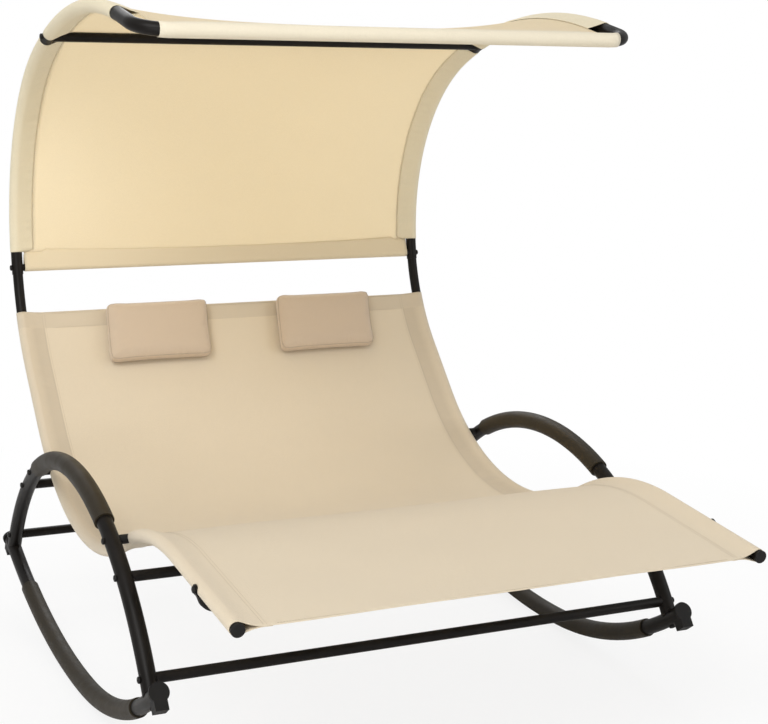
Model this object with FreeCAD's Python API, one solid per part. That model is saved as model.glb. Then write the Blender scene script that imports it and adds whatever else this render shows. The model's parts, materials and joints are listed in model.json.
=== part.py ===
import FreeCAD, Part
import math
import os
from FreeCAD import Vector

os.makedirs("parts", exist_ok=True)

# Sizes in millimetres. Side-view spots are (y, z): y from the middle of the leg
# arches, the foot end negative; z from the floor. Left is -X, seen from the foot end.

# side frames: a leg arch standing on a rocker
frame_x = 670.0
leg_r = 19.0
leg_wall = 1.2
arch_r = 744.0
arch_top_z = 550.0
rocker_low_y = -131.0
rocker_front_r = 1025.0
rocker_rear_r = 1810.0
rocker_past_front = 56.8
rocker_past_rear = 36.4
lean_back = 3.5
saddle_lift = 8.0
leg_insert_lift = 23.0
leg_insert_long = 14.0

# foam sleeves
arm_sleeve_r = 24.0
arm_sleeve_front_gap = 66.0
arm_sleeve_rear_gap = 45.0
rocker_sleeve_r = 23.0
rocker_sleeve_front_gap = 109.6
rocker_sleeve_rear_gap = 194.2
sleeve_squash = 2.0

# rocker end caps with their square stop feet
cap_r = 23.0
cap_thick = 8.0
cap_plug = 26.0
stop_width = 30.0
stop_depth = 24.0
stop_drop = 40.0

# crossbars between the arches, placed up each leg from where it meets the rocker
bar_r = 12.5
bar_wall = 1.0
front_bar_up = 45.2
middle_bar_up = 292.0
rear_upper_bar_up = 307.9
rear_lower_bar_up = 51.2

# seat tubes, from the foot end up to the canopy sockets
seat_x = 620.0
seat_r = 14.0
seat_wall = 1.5
foot_y = -1055.0
foot_z = 428.5
foot_rise = 8.5
foot_run = 370.5
knee_bend_r = 632.0
knee_turn = 33.9
thigh_run = 29.0
seat_bend_r = 637.5
seat_turn = 74.2
back_run = 183.0
canopy_bend_r = 540.6
canopy_turn = 108.7
roof_bend_r = 1181.0
roof_turn = 37.1
roof_run = 135.0
plug_r = 15.0
plug_thick = 4.0
plug_stem = 25.0

# foot spreader under the sling
spreader_run = 202.0
spreader_r = 10.0
spreader_wall = 1.5
spreader_bend_r = 26.0
spreader_drop = 41.0
lug_r = 11.0
lug_thick = 4.0
neck_drop = 10.0
neck_run = 24.0
neck_inset = 0.8
pressed_gap = 0.6
pressed_wide = 8.0

# canopy tubes
canopy_r = 15.5
canopy_wall = 1.0
socket_deg = 30.0
socket_depth = 70.0
socket_bolt_run = 19.0
shoulder_run = 105.0
shoulder_r = 12.5
hem_bar_r = 10.0
front_tube_r = 16.0
front_lap = 45.0
front_open_run = 40.0
front_corner_r = 70.0
swage_r = 14.5

# fabric
cloth = 1.2
sling_cloth = 1.5
cloth_fit = 0.3
sling_seam = 70.0
sling_back = 1.5
sling_corner = 8.0
sling_top_deg = 18.1
pocket_reach = 48.0
hem_reach = 45.0
shoulder_cut = 20.0
pocket_stop = 4.0
canopy_pull = 4.0

# pillows and their straps
left_pillow_x = -244.0
right_pillow_x = 275.0
pillow_half = 156.0
pillow_height = 197.0
pillow_over = 11.0
pillow_thick = 50.0
pillow_edge = 30.0
pillow_pull = 5.0
strap_width = 40.0
strap_thick = 1.5
strap_front = 45.0
strap_rear = 55.0

# fasteners and fits
cut_reach = 40.0
lug_fit = 3.0
spacer_fit = 2.0
bolt_r = 4.0
hole_r = 4.2
thread_r = 4.05
head_r = 8.0
head_high = 5.0
hex_r = 3.0
hex_deep = 2.5
insert_long = 22.0
rivet_r = 6.0
rivet_long = 13.0
spacer_r = 11.0
sleeve_fit = 0.3
cope_fit = 0.4
plug_fit = 0.25
rest_fit = 0.1
spare = 6.0

X = Vector(1, 0, 0)
ORIGIN = Vector(0, 0, 0)


def unit(deg):
    """Side-view direction at an angle from +Y."""
    a = math.radians(deg)
    return Vector(0, math.cos(a), math.sin(a))


class Track:
    """A side-view path of straight runs and tangent bends, measured along its length."""

    def __init__(self, y, z, heading):
        self.pieces = []
        self.end = (y, z, heading)
        self.length = 0.0

    def add(self, length, curl):
        self.pieces.append((self.length, length, self.end, curl))
        self.end = self.step(self.end, length, curl)
        self.length += length

    def run(self, length):
        self.add(length, 0.0)

    def bend(self, radius, turn):
        length = radius * math.radians(abs(turn))
        self.add(length, math.copysign(1.0 / radius, turn))

    @staticmethod
    def step(state, length, curl):
        y, z, heading = state
        h = math.radians(heading)
        if curl == 0.0:
            return (y + length * math.cos(h), z + length * math.sin(h), heading)
        k = h + curl * length
        y += (math.sin(k) - math.sin(h)) / curl
        z += (math.cos(h) - math.cos(k)) / curl
        return (y, z, math.degrees(k))

    def centre(self, index):
        start, length, (y, z, heading), curl = self.pieces[index]
        h = math.radians(heading)
        return (y - math.sin(h) / curl, z + math.cos(h) / curl)

    def at(self, s):
        """Spot and heading; past either end the path carries straight on."""
        if s > self.length:
            return self.step(self.end, s - self.length, 0.0)
        if s < 0.0:
            return self.step(self.pieces[0][2], s, 0.0)
        for start, length, state, curl in self.pieces:
            if s <= start + length:
                return self.step(state, s - start, curl)
        return self.end

    def spot(self, s, x):
        y, z, heading = self.at(s)
        return Vector(x, y, z)

    def ahead(self, s):
        return unit(self.at(s)[2])

    def inward(self, s):
        """The side the sitter is on: left of the heading."""
        return unit(self.at(s)[2] + 90.0)

    def near_angle(self, index, spot):
        """Length at which a bend passes the spot, found from the angle about its centre."""
        start, length, (y, z, heading), curl = self.pieces[index]
        cy, cz = self.centre(index)
        from_angle = math.atan2(z - cz, y - cy)
        to_angle = math.atan2(spot[1] - cz, spot[0] - cy)
        swing = (to_angle - from_angle + math.pi) % (2.0 * math.pi) - math.pi
        return start + swing / curl

    def edges(self, s0, s1, x):
        marks = [s0]
        for start, length, state, curl in self.pieces:
            for m in (start, start + length):
                if marks[-1] + 1e-6 < m < s1 - 1e-6:
                    marks.append(m)
        marks.append(s1)
        out = []
        for a, b in zip(marks[:-1], marks[1:]):
            p, m, q = [self.spot(s, x) for s in (a, 0.5 * (a + b), b)]
            if (m - p).cross(q - p).Length < 1e-6 * (q - p).Length:
                out.append(Part.makeLine(p, q))
            else:
                out.append(Part.Arc(p, m, q).toShape())
        return out


def circles_meet(c1, r1, c2, r2, way):
    """The crossing of two side-view circles that lies further along a (y, z) way."""
    dy, dz = c2[0] - c1[0], c2[1] - c1[1]
    d = math.hypot(dy, dz)
    a = (d * d + r1 * r1 - r2 * r2) / (2.0 * d)
    h = math.sqrt(r1 * r1 - a * a)
    my, mz = c1[0] + a * dy / d, c1[1] + a * dz / d
    both = [(my - h * dz / d, mz + h * dy / d), (my + h * dz / d, mz - h * dy / d)]
    return max(both, key=lambda p: p[0] * way[0] + p[1] * way[1])


def ring(centre, axis, r):
    return Part.Wire(Part.makeCircle(r, centre, axis))


def sweep(edges, section):
    return Part.Wire(edges).makePipeShell([section], True, False)


def rod(track, s0, s1, x, r):
    return sweep(track.edges(s0, s1, x), ring(track.spot(s0, x), track.ahead(s0), r))


def pipe(track, s0, s1, x, r, wall):
    return rod(track, s0, s1, x, r).cut(rod(track, s0 - spare, s1 + spare, x, r - wall))


def cyl(r, base, axis, length):
    return Part.makeCylinder(r, length, base, axis)


def cross_rod(r, spot, x0, x1):
    """Round bar along X at a side-view spot."""
    return cyl(r, Vector(x0, spot[0], spot[1]), X, x1 - x0)


def block(base, e1, e2, e3, a, b, c):
    """Box with one corner offset from base along three axes, each a (from, to) pair."""
    p = base + e1 * a[0] + e2 * b[0] + e3 * c[0]
    u = e1 * (a[1] - a[0])
    v = e2 * (b[1] - b[0])
    face = Part.Face(Part.makePolygon([p, p + u, p + u + v, p + v, p]))
    return face.extrude(e3 * (c[1] - c[0]))


def bolt(seat, axis, length):
    """Button-head bolt; axis points from under the head into the work."""
    dome = cyl(head_r, seat - axis * head_high, axis, head_high)
    rim = [e for e in dome.Edges if e.Closed and abs((e.CenterOfMass - seat).Length - head_high) < 0.1]
    dome = dome.makeFillet(head_high * 0.7, rim)
    side = axis.cross(X) if abs(axis.dot(X)) < 0.9 else Vector(0, 1, 0)
    other = axis.cross(side)
    top = seat - axis * (head_high + 1.0)
    corners = []
    for k in range(7):
        a = math.radians(60.0 * k)
        corners.append(top + side * (hex_r * math.cos(a)) + other * (hex_r * math.sin(a)))
    key = Part.Face(Part.makePolygon(corners)).extrude(axis * (hex_deep + 1.0))
    return dome.cut(key).fuse(cyl(bolt_r, seat, axis, length)).removeSplitter()


def threaded(r, base, axis, length):
    """Round insert with a through thread for the bolts."""
    return cyl(r, base, axis, length).cut(cyl(thread_r, base - axis, axis, length + 2.0))


def mirrored(shape):
    return shape.mirror(ORIGIN, X)


def pair(shape):
    return [mirrored(shape), shape]


# side-view paths
rocker_z = rocker_sleeve_r
arch_c = (0.0, arch_top_z - arch_r)
rocker_front_c = (rocker_low_y, rocker_z + rocker_front_r)
rocker_rear_c = (rocker_low_y, rocker_z + rocker_rear_r)

front_joint = circles_meet(arch_c, arch_r, rocker_front_c, rocker_front_r, (-1, 0))
rear_joint = circles_meet(arch_c, arch_r, rocker_rear_c, rocker_rear_r, (1, 0))
front_joint_deg = math.degrees(math.atan2(front_joint[1] - arch_c[1], front_joint[0]))
rear_joint_deg = math.degrees(math.atan2(rear_joint[1] - arch_c[1], rear_joint[0]))
arch = Track(front_joint[0], front_joint[1], front_joint_deg - 90.0)
arch.bend(arch_r, rear_joint_deg - front_joint_deg)

front_roll = math.atan2(rocker_low_y - front_joint[0], rocker_front_c[1] - front_joint[1])
rear_roll = math.atan2(rear_joint[0] - rocker_low_y, rocker_rear_c[1] - rear_joint[1])
rocker_front_deg = math.degrees(front_roll + rocker_past_front / rocker_front_r)
rocker_rear_deg = math.degrees(rear_roll + rocker_past_rear / rocker_rear_r)
front_start = unit(-90.0 - rocker_front_deg) * rocker_front_r
rocker = Track(rocker_front_c[0] + front_start.y, rocker_front_c[1] + front_start.z, -rocker_front_deg)
rocker.bend(rocker_front_r, rocker_front_deg)
rocker.bend(rocker_rear_r, rocker_rear_deg)
front_joint_s = rocker_past_front
rear_joint_s = rocker.length - rocker_past_rear
leg_ends = [(0.0, 1.0, front_joint_s), (arch.length, -1.0, rear_joint_s)]

seat = Track(foot_y, foot_z, foot_rise)
seat.run(foot_run)
knee_bend = len(seat.pieces)
seat.bend(knee_bend_r, -knee_turn)
seat.run(thigh_run)
seat_bend = len(seat.pieces)
seat.bend(seat_bend_r, seat_turn)
seat.run(back_run)
canopy_bend = len(seat.pieces)
canopy_s = seat.length
seat.bend(canopy_bend_r, canopy_turn)
roof_s = seat.length
seat.bend(roof_bend_r, roof_turn)
roof_end_s = seat.length
seat.run(roof_run)


socket_s = canopy_s + canopy_bend_r * math.radians(socket_deg)
hem_s = socket_s + socket_bolt_run
sling_top_s = canopy_s + canopy_bend_r * math.radians(sling_top_deg)
shoulder_s = roof_s + shoulder_run
front_s = seat.length
lap_s = roof_end_s - front_open_run
spreader_s = spreader_run

bar_s = [front_bar_up, middle_bar_up]
bar_s += [arch.length - rear_upper_bar_up, arch.length - rear_lower_bar_up]
bar_spots = [arch.at(s) for s in bar_s]
seat_bolt_front = circles_meet(arch_c, arch_r, seat.centre(knee_bend), knee_bend_r, (0, 1))
seat_bolt_rear = circles_meet(arch_c, arch_r, seat.centre(seat_bend), seat_bend_r, (1, 0))
seat_bolt_s = [seat.near_angle(knee_bend, seat_bolt_front)]
seat_bolt_s += [seat.near_angle(seat_bend, seat_bolt_rear)]
seat_bolt_spots = [seat_bolt_front, seat_bolt_rear]
arch_bolt_s = [arch.near_angle(0, spot) for spot in seat_bolt_spots]
hem_spot = seat.at(hem_s)
shoulder_spot = seat.at(shoulder_s)
front_spot = seat.at(front_s)

# at rest the whole lounger is rolled back on its rear rocker bend, its sleeves squashed flat
roll_hub = Vector(0, rocker_rear_c[0], rocker_rear_c[1])


def leaned(spot):
    away = Vector(0, spot[0], spot[1]) - roll_hub
    slope = unit(math.degrees(math.atan2(away.z, away.y)) - lean_back)
    return roll_hub + slope * math.hypot(away.y, away.z)


canopy_hub = leaned(seat.centre(canopy_bend))
plug_tip = leaned(seat.at(-plug_thick - rest_fit))
plug_tilt = 0.4 * plug_r * math.sin(math.radians(foot_rise - lean_back))
rear_reach = canopy_hub.y + canopy_bend_r + canopy_r + cloth_fit + cloth
front_reach = plug_tip.y - plug_tilt
shift = Vector(0, -0.5 * (rear_reach + front_reach), -sleeve_squash)


def placed(solids):
    shape = solids[0] if len(solids) == 1 else Part.makeCompound(solids)
    shape = shape.copy()
    shape.rotate(roll_hub, X, -lean_back)
    shape.translate(shift)
    return shape


def write(name, shape):
    if not shape.isValid():
        print("not valid:", name)
    shape.exportStep("parts/" + name + ".step")


def save(name, solids):
    write(name, placed(solids))


def save_pair(name, right):
    save("left_" + name, [mirrored(right)])
    save("right_" + name, [right])


# arches, with bolt holes, saddle mouths and end inserts
arch_tube = pipe(arch, saddle_lift, arch.length - saddle_lift, frame_x, leg_r, leg_wall)
mouth_half = 2.0 * leg_r
for s, toward, joint_s in leg_ends:
    mouth = rod(rocker, joint_s - mouth_half, joint_s + mouth_half, frame_x, leg_r + cope_fit)
    arch_tube = arch_tube.cut(mouth)
for spot in bar_spots + seat_bolt_spots:
    arch_tube = arch_tube.cut(cross_rod(hole_r, spot, frame_x - leg_r - 1.0, frame_x + leg_r + 1.0))
save_pair("arch_tube", arch_tube)

rocker_tube = pipe(rocker, 0.0, rocker.length, frame_x, leg_r, leg_wall)
leg_inserts = []
leg_bolts = []
for s, toward, joint_s in leg_ends:
    up = rocker.inward(joint_s)
    joint = rocker.spot(joint_s, frame_x)
    under = joint - up * (leg_r + rest_fit)
    rocker_tube = rocker_tube.cut(cyl(hole_r, joint - up * (leg_r + 2.0), up, 2.0 * leg_r + 4.0))
    near_s = s + toward * leg_insert_lift
    far_s = near_s + toward * leg_insert_long
    insert = rod(arch, min(near_s, far_s), max(near_s, far_s), frame_x, leg_r - leg_wall - plug_fit)
    leg_inserts.append(insert.cut(cyl(thread_r, joint, up, 2.0 * (leg_insert_lift + leg_insert_long))))
    leg_bolts.append(bolt(under, up, leg_r + leg_insert_lift + leg_insert_long - 1.0))
save_pair("rocker_tube", rocker_tube)
save("leg_inserts", leg_inserts + [mirrored(s) for s in leg_inserts])
save("leg_bolts", leg_bolts + [mirrored(s) for s in leg_bolts])

# foam sleeves on the arch tops and on the rolling length of the rockers
arm_wall = arm_sleeve_r - leg_r - sleeve_fit
arm_from = arch_bolt_s[0] + arm_sleeve_front_gap
arm_to = arch_bolt_s[1] - arm_sleeve_rear_gap
save_pair("arm_sleeve", pipe(arch, arm_from, arm_to, frame_x, arm_sleeve_r, arm_wall))
roll_from = front_joint_s + rocker_sleeve_front_gap
roll_to = rear_joint_s - rocker_sleeve_rear_gap
roll_wall = rocker_sleeve_r - leg_r - sleeve_fit
roll_sleeve = pipe(rocker, roll_from, roll_to, frame_x, rocker_sleeve_r, roll_wall)
floor_long = rocker.length
under_floor = Part.makeBox(2.0 * frame_x, 2.0 * floor_long, leg_r, Vector(0, -floor_long, -leg_r))
write("left_rocker_sleeve", placed([mirrored(roll_sleeve)]).cut(mirrored(under_floor)))
write("right_rocker_sleeve", placed([roll_sleeve]).cut(under_floor))


def end_cap(s, toward):
    out = rocker.ahead(s) * toward
    up = rocker.inward(s)
    end = rocker.spot(s, frame_x)
    face = end + out * rest_fit
    cap = cyl(cap_r, face, out, cap_thick)
    wide = (-0.5 * stop_width, 0.5 * stop_width)
    cap = cap.fuse(block(face, X, out, up, wide, (-stop_depth, cap_thick), (-stop_drop, 0.0)))
    cap = cap.cut(cyl(leg_r + cope_fit, face - out * 60.0, out, 60.0))
    plug = cyl(leg_r - leg_wall - cope_fit, face - out * cap_plug, out, cap_plug + 1.0)
    return cap.fuse(plug).removeSplitter()


save_pair("front_cap", end_cap(0.0, -1.0))
save_pair("rear_cap", end_cap(rocker.length, 1.0))

# crossbars, coped to the arches and held by a bolt at each end
bar_names = ["front_crossbar", "middle_crossbar", "rear_upper_crossbar", "rear_lower_crossbar"]
bar_bolts = []
bar_inserts = []
insert_start = frame_x - leg_r - cope_fit - insert_long
for name, spot, s in zip(bar_names, bar_spots, bar_s):
    bar = cross_rod(bar_r, spot, -frame_x, frame_x)
    bar = bar.cut(cross_rod(bar_r - bar_wall, spot, -frame_x - 1.0, frame_x + 1.0))
    along = arch.ahead(s)
    at_leg = Vector(frame_x, spot[0], spot[1])
    cope = cyl(leg_r + cope_fit, at_leg - along * cut_reach, along, 2.0 * cut_reach)
    bar = bar.cut(cope).cut(mirrored(cope))
    bar = [piece for piece in bar.Solids if piece.BoundBox.XLength > frame_x][0]
    save(name, [bar])
    seat_face = Vector(frame_x + leg_r + rest_fit, spot[0], spot[1])
    bar_bolts.append(bolt(seat_face, X * -1.0, 2.0 * leg_r + insert_long))
    base = Vector(insert_start, spot[0], spot[1])
    bar_inserts.append(threaded(bar_r - bar_wall - plug_fit, base, X, insert_long - 1.0))
save("crossbar_bolts", bar_bolts + [mirrored(s) for s in bar_bolts])
save("crossbar_inserts", bar_inserts + [mirrored(s) for s in bar_inserts])

# seat tubes, spaced off the arches at two bolts each
seat_top_s = socket_s + socket_depth
seat_tube = pipe(seat, 0.0, seat_top_s, seat_x, seat_r, seat_wall)
rivet_out = seat_x + math.sqrt(seat_r * seat_r - rivet_r * rivet_r)
for s in seat_bolt_s + [spreader_s]:
    seat_tube = seat_tube.cut(cross_rod(rivet_r + plug_fit, seat.at(s), seat_x, seat_x + seat_r + 2.0))
seat_tube = seat_tube.cut(cross_rod(hole_r, hem_spot, seat_x - seat_r - 2.0, seat_x + seat_r + 2.0))
save_pair("seat_tube", seat_tube)

spacers = []
seat_bolts = []
rivet_nuts = []
for s, spot in zip(seat_bolt_s, seat_bolt_spots):
    spacer = cross_rod(spacer_r, spot, seat_x + 6.0, frame_x - 8.0)
    spacer = spacer.cut(cross_rod(hole_r, spot, seat_x, frame_x))
    at_seat = Vector(seat_x, spot[0], spot[1])
    along = seat.ahead(s)
    spacer = spacer.cut(cyl(seat_r + cope_fit, at_seat - along * cut_reach, along, 2.0 * cut_reach))
    at_arch = Vector(frame_x, spot[0], spot[1])
    round_arch = unit(math.degrees(math.atan2(spot[1] - arch_c[1], spot[0])) - 90.0)
    saddle = cyl(leg_r + cope_fit, at_arch - round_arch * cut_reach, round_arch, 2.0 * cut_reach)
    spacer = spacer.cut(saddle)
    spacer = max(spacer.Solids, key=lambda piece: piece.Volume)
    spacers.append(spacer)
    grip = frame_x + leg_r - rivet_out + rivet_long
    seat_bolts.append(bolt(at_arch + X * (leg_r + rest_fit), X * -1.0, grip))
    rivet_nuts.append(threaded(rivet_r, Vector(rivet_out, spot[0], spot[1]), X * -1.0, rivet_long))
save("seat_spacers", spacers + [mirrored(s) for s in spacers])
save("seat_bolts", seat_bolts + [mirrored(s) for s in seat_bolts])

foot_axis = seat.ahead(0.0)
foot_end = seat.spot(0.0, seat_x) - foot_axis * rest_fit
foot_cap = cyl(plug_r, foot_end - foot_axis * plug_thick, foot_axis, plug_thick)
foot_rim = [e for e in foot_cap.Edges if e.Closed and (e.CenterOfMass - foot_end).Length > 0.5 * plug_thick]
foot_cap = foot_cap.makeFillet(0.6 * plug_thick, foot_rim)
foot_stem = cyl(seat_r - seat_wall - plug_fit, foot_end - foot_axis * 0.5, foot_axis, plug_stem)
save_pair("foot_plug", foot_cap.fuse(foot_stem).removeSplitter())

# foot spreader: pressed-flat ends on the outer sides of the seat tubes, sloping in to a run under the sling
lug_y, lug_z, lug_turn = seat.at(spreader_s)
lug_in = seat_x + seat_r + sleeve_fit
leg_x = lug_in + 0.5 * lug_thick
run_z = lug_z - spreader_drop
across = Vector(0, 1, 0)
slope = Vector(-1, 0, -1).normalize()
lug_mid = Vector(leg_x, lug_y, lug_z)
neck_top = Vector(leg_x, lug_y, lug_z - neck_drop)
neck_end = neck_top + slope * neck_run
half_bend = math.radians(22.5)
slope_end_z = run_z + spreader_bend_r * (1.0 - math.cos(2.0 * half_bend))
slope_end = neck_top + slope * ((neck_top.z - slope_end_z) / -slope.z)
run_end = Vector(slope_end.x - spreader_bend_r * math.sin(2.0 * half_bend), lug_y, run_z)
bend_hub = run_end + Vector(0, 0, spreader_bend_r)
bend_mid = bend_hub + Vector(math.sin(half_bend), 0, -math.cos(half_bend)) * spreader_bend_r


neck_half = lug_r - neck_inset
neck_flat = 0.5 * lug_thick - pressed_gap


def flipped(spot):
    return Vector(-spot.x, spot.y, spot.z)


def spreader_bar(r, longer):
    """Round part of the spreader, from one sloping end to the other."""
    start = neck_end - slope * longer
    wire = [Part.makeLine(start, slope_end), Part.Arc(slope_end, bend_mid, run_end).toShape()]
    wire.append(Part.makeLine(run_end, flipped(run_end)))
    wire.append(Part.Arc(flipped(run_end), flipped(bend_mid), flipped(slope_end)).toShape())
    wire.append(Part.makeLine(flipped(slope_end), flipped(start)))
    return sweep(wire, ring(start, slope, r))


def neck_ring(centre, axis, share):
    """Oval across the neck: flat in the lug at share 0, round as the tube at share 1."""
    wide = neck_half + (spreader_r - neck_half) * share
    thick = neck_flat + (spreader_r - neck_flat) * share
    oval = Part.Ellipse(centre + across * wide, centre + axis.cross(across) * thick, centre)
    return Part.Wire(oval.toShape())


down = Vector(0, 0, -1)
neck_rings = [neck_ring(lug_mid + down * (0.3 * lug_r), down, 0.0)]
neck_rings.append(neck_ring(neck_top, (slope + down).normalize(), 0.0))
for share in (0.25, 0.5, 0.75, 1.0):
    round_share = share * share * (3.0 - 2.0 * share)
    neck_rings.append(neck_ring(neck_top + slope * (neck_run * share), slope, round_share))
neck = Part.makeLoft(neck_rings, True, True)
lug = cross_rod(lug_r, (lug_y, lug_z), lug_in, lug_in + lug_thick).fuse(neck)
lug = lug.cut(cross_rod(hole_r, (lug_y, lug_z), lug_in - 1.0, lug_in + lug_thick + 1.0))
pressed_y = (-0.5 * pressed_wide, 0.5 * pressed_wide)
pressed_x = (-0.5 * pressed_gap, 0.5 * pressed_gap)
lug_gap = block(lug_mid, X, across, down, pressed_x, pressed_y, (0.0, neck_drop))
neck_gap = block(neck_top, slope.cross(across), across, slope, pressed_x, pressed_y, (0.0, neck_run + spare))
lug = lug.cut(lug_gap).cut(neck_gap)
spreader = spreader_bar(spreader_r, 0.0).cut(spreader_bar(spreader_r - spreader_wall, 0.0))
spreader = spreader.fuse(lug).fuse(mirrored(lug)).removeSplitter()
save("foot_spreader", [spreader])
lug_face = Vector(lug_in + lug_thick + rest_fit, lug_y, lug_z)
spreader_bolt = bolt(lug_face, X * -1.0, lug_face.x - rivet_out + rivet_long)
save("spreader_bolts", pair(spreader_bolt))
rivet_nuts.append(threaded(rivet_r, Vector(rivet_out, lug_y, lug_z), X * -1.0, rivet_long))
save("rivet_nuts", rivet_nuts + [mirrored(s) for s in rivet_nuts])

# canopy side tubes: socket over the seat tube below, swaged end into the front tube
side_tube = pipe(seat, socket_s, lap_s, seat_x, canopy_r, canopy_wall)
swage = pipe(seat, lap_s - 5.0, lap_s + front_lap, seat_x, swage_r, canopy_wall)
side_tube = side_tube.fuse(swage).removeSplitter()
for spot in (hem_spot, shoulder_spot):
    side_tube = side_tube.cut(cross_rod(hole_r, spot, seat_x - canopy_r - 2.0, seat_x + canopy_r + 2.0))
save_pair("canopy_side_tube", side_tube)

# front tube of the canopy, bent round both front corners
bend_s = front_s - front_corner_r


def front_edges(s_from):
    lead = seat.edges(s_from, bend_s, seat_x)
    a = seat.spot(bend_s, seat_x)
    c = Vector(seat_x - front_corner_r, front_spot[0], front_spot[1])
    hub = a - X * front_corner_r
    m = hub + (X + seat.ahead(front_s)).normalize() * front_corner_r
    bend = Part.Arc(a, m, c).toShape()
    far = Part.Arc(Vector(-c.x, c.y, c.z), Vector(-m.x, m.y, m.z), Vector(-a.x, a.y, a.z)).toShape()
    tail = [mirrored(e) for e in reversed(lead)]
    return lead + [bend, Part.makeLine(c, Vector(-c.x, c.y, c.z)), far] + tail


def front_rod(r, s_from):
    wire = Part.Wire(Part.__sortEdges__(front_edges(s_from)))
    return wire.makePipeShell([ring(seat.spot(s_from, seat_x), seat.ahead(s_from), r)], True, False)


front_tube_s = lap_s + rest_fit
front_bore = front_rod(front_tube_r - canopy_wall, front_tube_s - spare)
save("canopy_front_tube", [front_rod(front_tube_r, front_tube_s).cut(front_bore)])


def canopy_bar(spot, s, r):
    """Straight bar between the canopy side tubes, with its bolt and insert on the right."""
    bar = cross_rod(r, spot, -seat_x, seat_x)
    bar = bar.cut(cross_rod(r - bar_wall, spot, -seat_x - 1.0, seat_x + 1.0))
    along = seat.ahead(s)
    at_side = Vector(seat_x, spot[0], spot[1])
    cope = cyl(canopy_r + cope_fit, at_side - along * cut_reach, along, 2.0 * cut_reach)
    bar = bar.cut(cope).cut(mirrored(cope))
    bar = [piece for piece in bar.Solids if piece.BoundBox.XLength > seat_x][0]
    end = seat_x - canopy_r - cope_fit
    base = Vector(end - insert_long, spot[0], spot[1])
    insert = threaded(r - bar_wall - plug_fit, base, X, insert_long - 1.0)
    head = Vector(seat_x + canopy_r + rest_fit, spot[0], spot[1])
    screw = bolt(head, X * -1.0, 2.0 * canopy_r + insert_long)
    return bar, insert, screw


shoulder_bar, shoulder_insert, shoulder_bolt = canopy_bar(shoulder_spot, shoulder_s, shoulder_r)
hem_bar, hem_insert, hem_bolt = canopy_bar(hem_spot, hem_s, hem_bar_r)
save("canopy_shoulder_bar", [shoulder_bar])
save("canopy_hem_bar", [hem_bar])
save("canopy_inserts", pair(shoulder_insert) + pair(hem_insert))
save("shoulder_bolts", pair(shoulder_bolt))
save("socket_bolts", pair(hem_bolt))


# fabric
def teardrop(centre, out, up, r, reach):
    """Loop of cloth round a bar, drawn out to a seam at reach along out."""
    a = math.acos(r / reach)

    def rim(angle):
        return centre + out * (r * math.cos(angle)) + up * (r * math.sin(angle))

    tip = centre + out * reach
    over, back, under = rim(a), rim(math.pi), rim(-a)
    upper = Part.Arc(over, rim(0.5 * (a + math.pi)), back).toShape()
    lower = Part.Arc(back, rim(-0.5 * (a + math.pi)), under).toShape()
    return Part.Wire([Part.makeLine(tip, over), upper, lower, Part.makeLine(under, tip)])


def pocket(s0, s1):
    """Side pocket of the canopy between two lengths along the right tube."""
    r = canopy_r + cloth_fit

    def skin(a, b, radius):
        reach = pocket_reach * radius / (r + cloth)
        drop = teardrop(seat.spot(a, seat_x), X * -1.0, seat.inward(a), radius, reach)
        return sweep(seat.edges(a, b, seat_x), drop)

    return skin(s0, s1, r + cloth).cut(skin(s0 - spare, s1 + spare, r))


pocket_low_s = hem_s + hem_reach
back_pocket = pocket(pocket_low_s, shoulder_s - shoulder_cut)
roof_pocket = pocket(shoulder_s + shoulder_cut, lap_s - pocket_stop)
save("left_canopy_pocket", [mirrored(back_pocket), mirrored(roof_pocket)])
save("right_canopy_pocket", [back_pocket, roof_pocket])


def cross_loop(spot, out, r, reach, half):
    """Loop of cloth round a straight cross bar."""

    def skin(radius, long):
        start = Vector(-long, spot[0], spot[1])
        face = Part.Face(teardrop(start, out, X.cross(out), radius, reach * radius / (r + cloth)))
        return face.extrude(X * (2.0 * long))

    return skin(r + cloth, half).cut(skin(r, half + spare))


front_half = seat_x - front_corner_r - 2.0
front_back = seat.ahead(front_s) * -1.0
front_pocket = cross_loop(front_spot, front_back, front_tube_r + cloth_fit, pocket_reach, front_half)
save("canopy_front_pocket", [front_pocket])
hem_half = seat_x - canopy_r - 3.0
rear_hem = cross_loop(hem_spot, seat.ahead(hem_s), hem_bar_r + cloth_fit, hem_reach, hem_half)
save("canopy_rear_hem", [rear_hem])

# canopy panel: curved at the side seams, pulled straighter over the bars in the middle
panel_half = seat_x - pocket_reach - rest_fit
low_tip = seat.spot(pocket_low_s + rest_fit, 0.0)
front_tip = seat.spot(front_s - pocket_reach - rest_fit, 0.0)
ridge_hub = seat.spot(shoulder_s, 0.0)
ridge_r = shoulder_r + cloth_fit + 0.5 * cloth
back_mid = seat.spot(0.5 * (pocket_low_s + shoulder_s), 0.0)
roof_mid = seat.spot(0.5 * (shoulder_s + front_s - pocket_reach), 0.0)


def lean_from(spot, turn):
    """Angle of the ridge point where a straight pull toward the spot leaves the bar."""
    gap = spot - ridge_hub
    reach = math.degrees(math.acos(ridge_r / math.hypot(gap.y, gap.z)))
    return math.degrees(math.atan2(gap.z, gap.y)) + turn * reach


back_lean = lean_from(low_tip, 1.0)
roof_lean = lean_from(front_tip, -1.0) % 360.0


def bowed(a, b, mid, share, out):
    """Arc from a to b, bowed a share of the way from straight to the tube line."""
    m = (a + b) * 0.5
    return Part.Arc(a, m + (mid - m) * share + out, b).toShape()


ridge_mid = 0.5 * (back_lean + roof_lean)
ridge_gap = math.degrees(0.5 * rest_fit / ridge_r)


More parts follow.
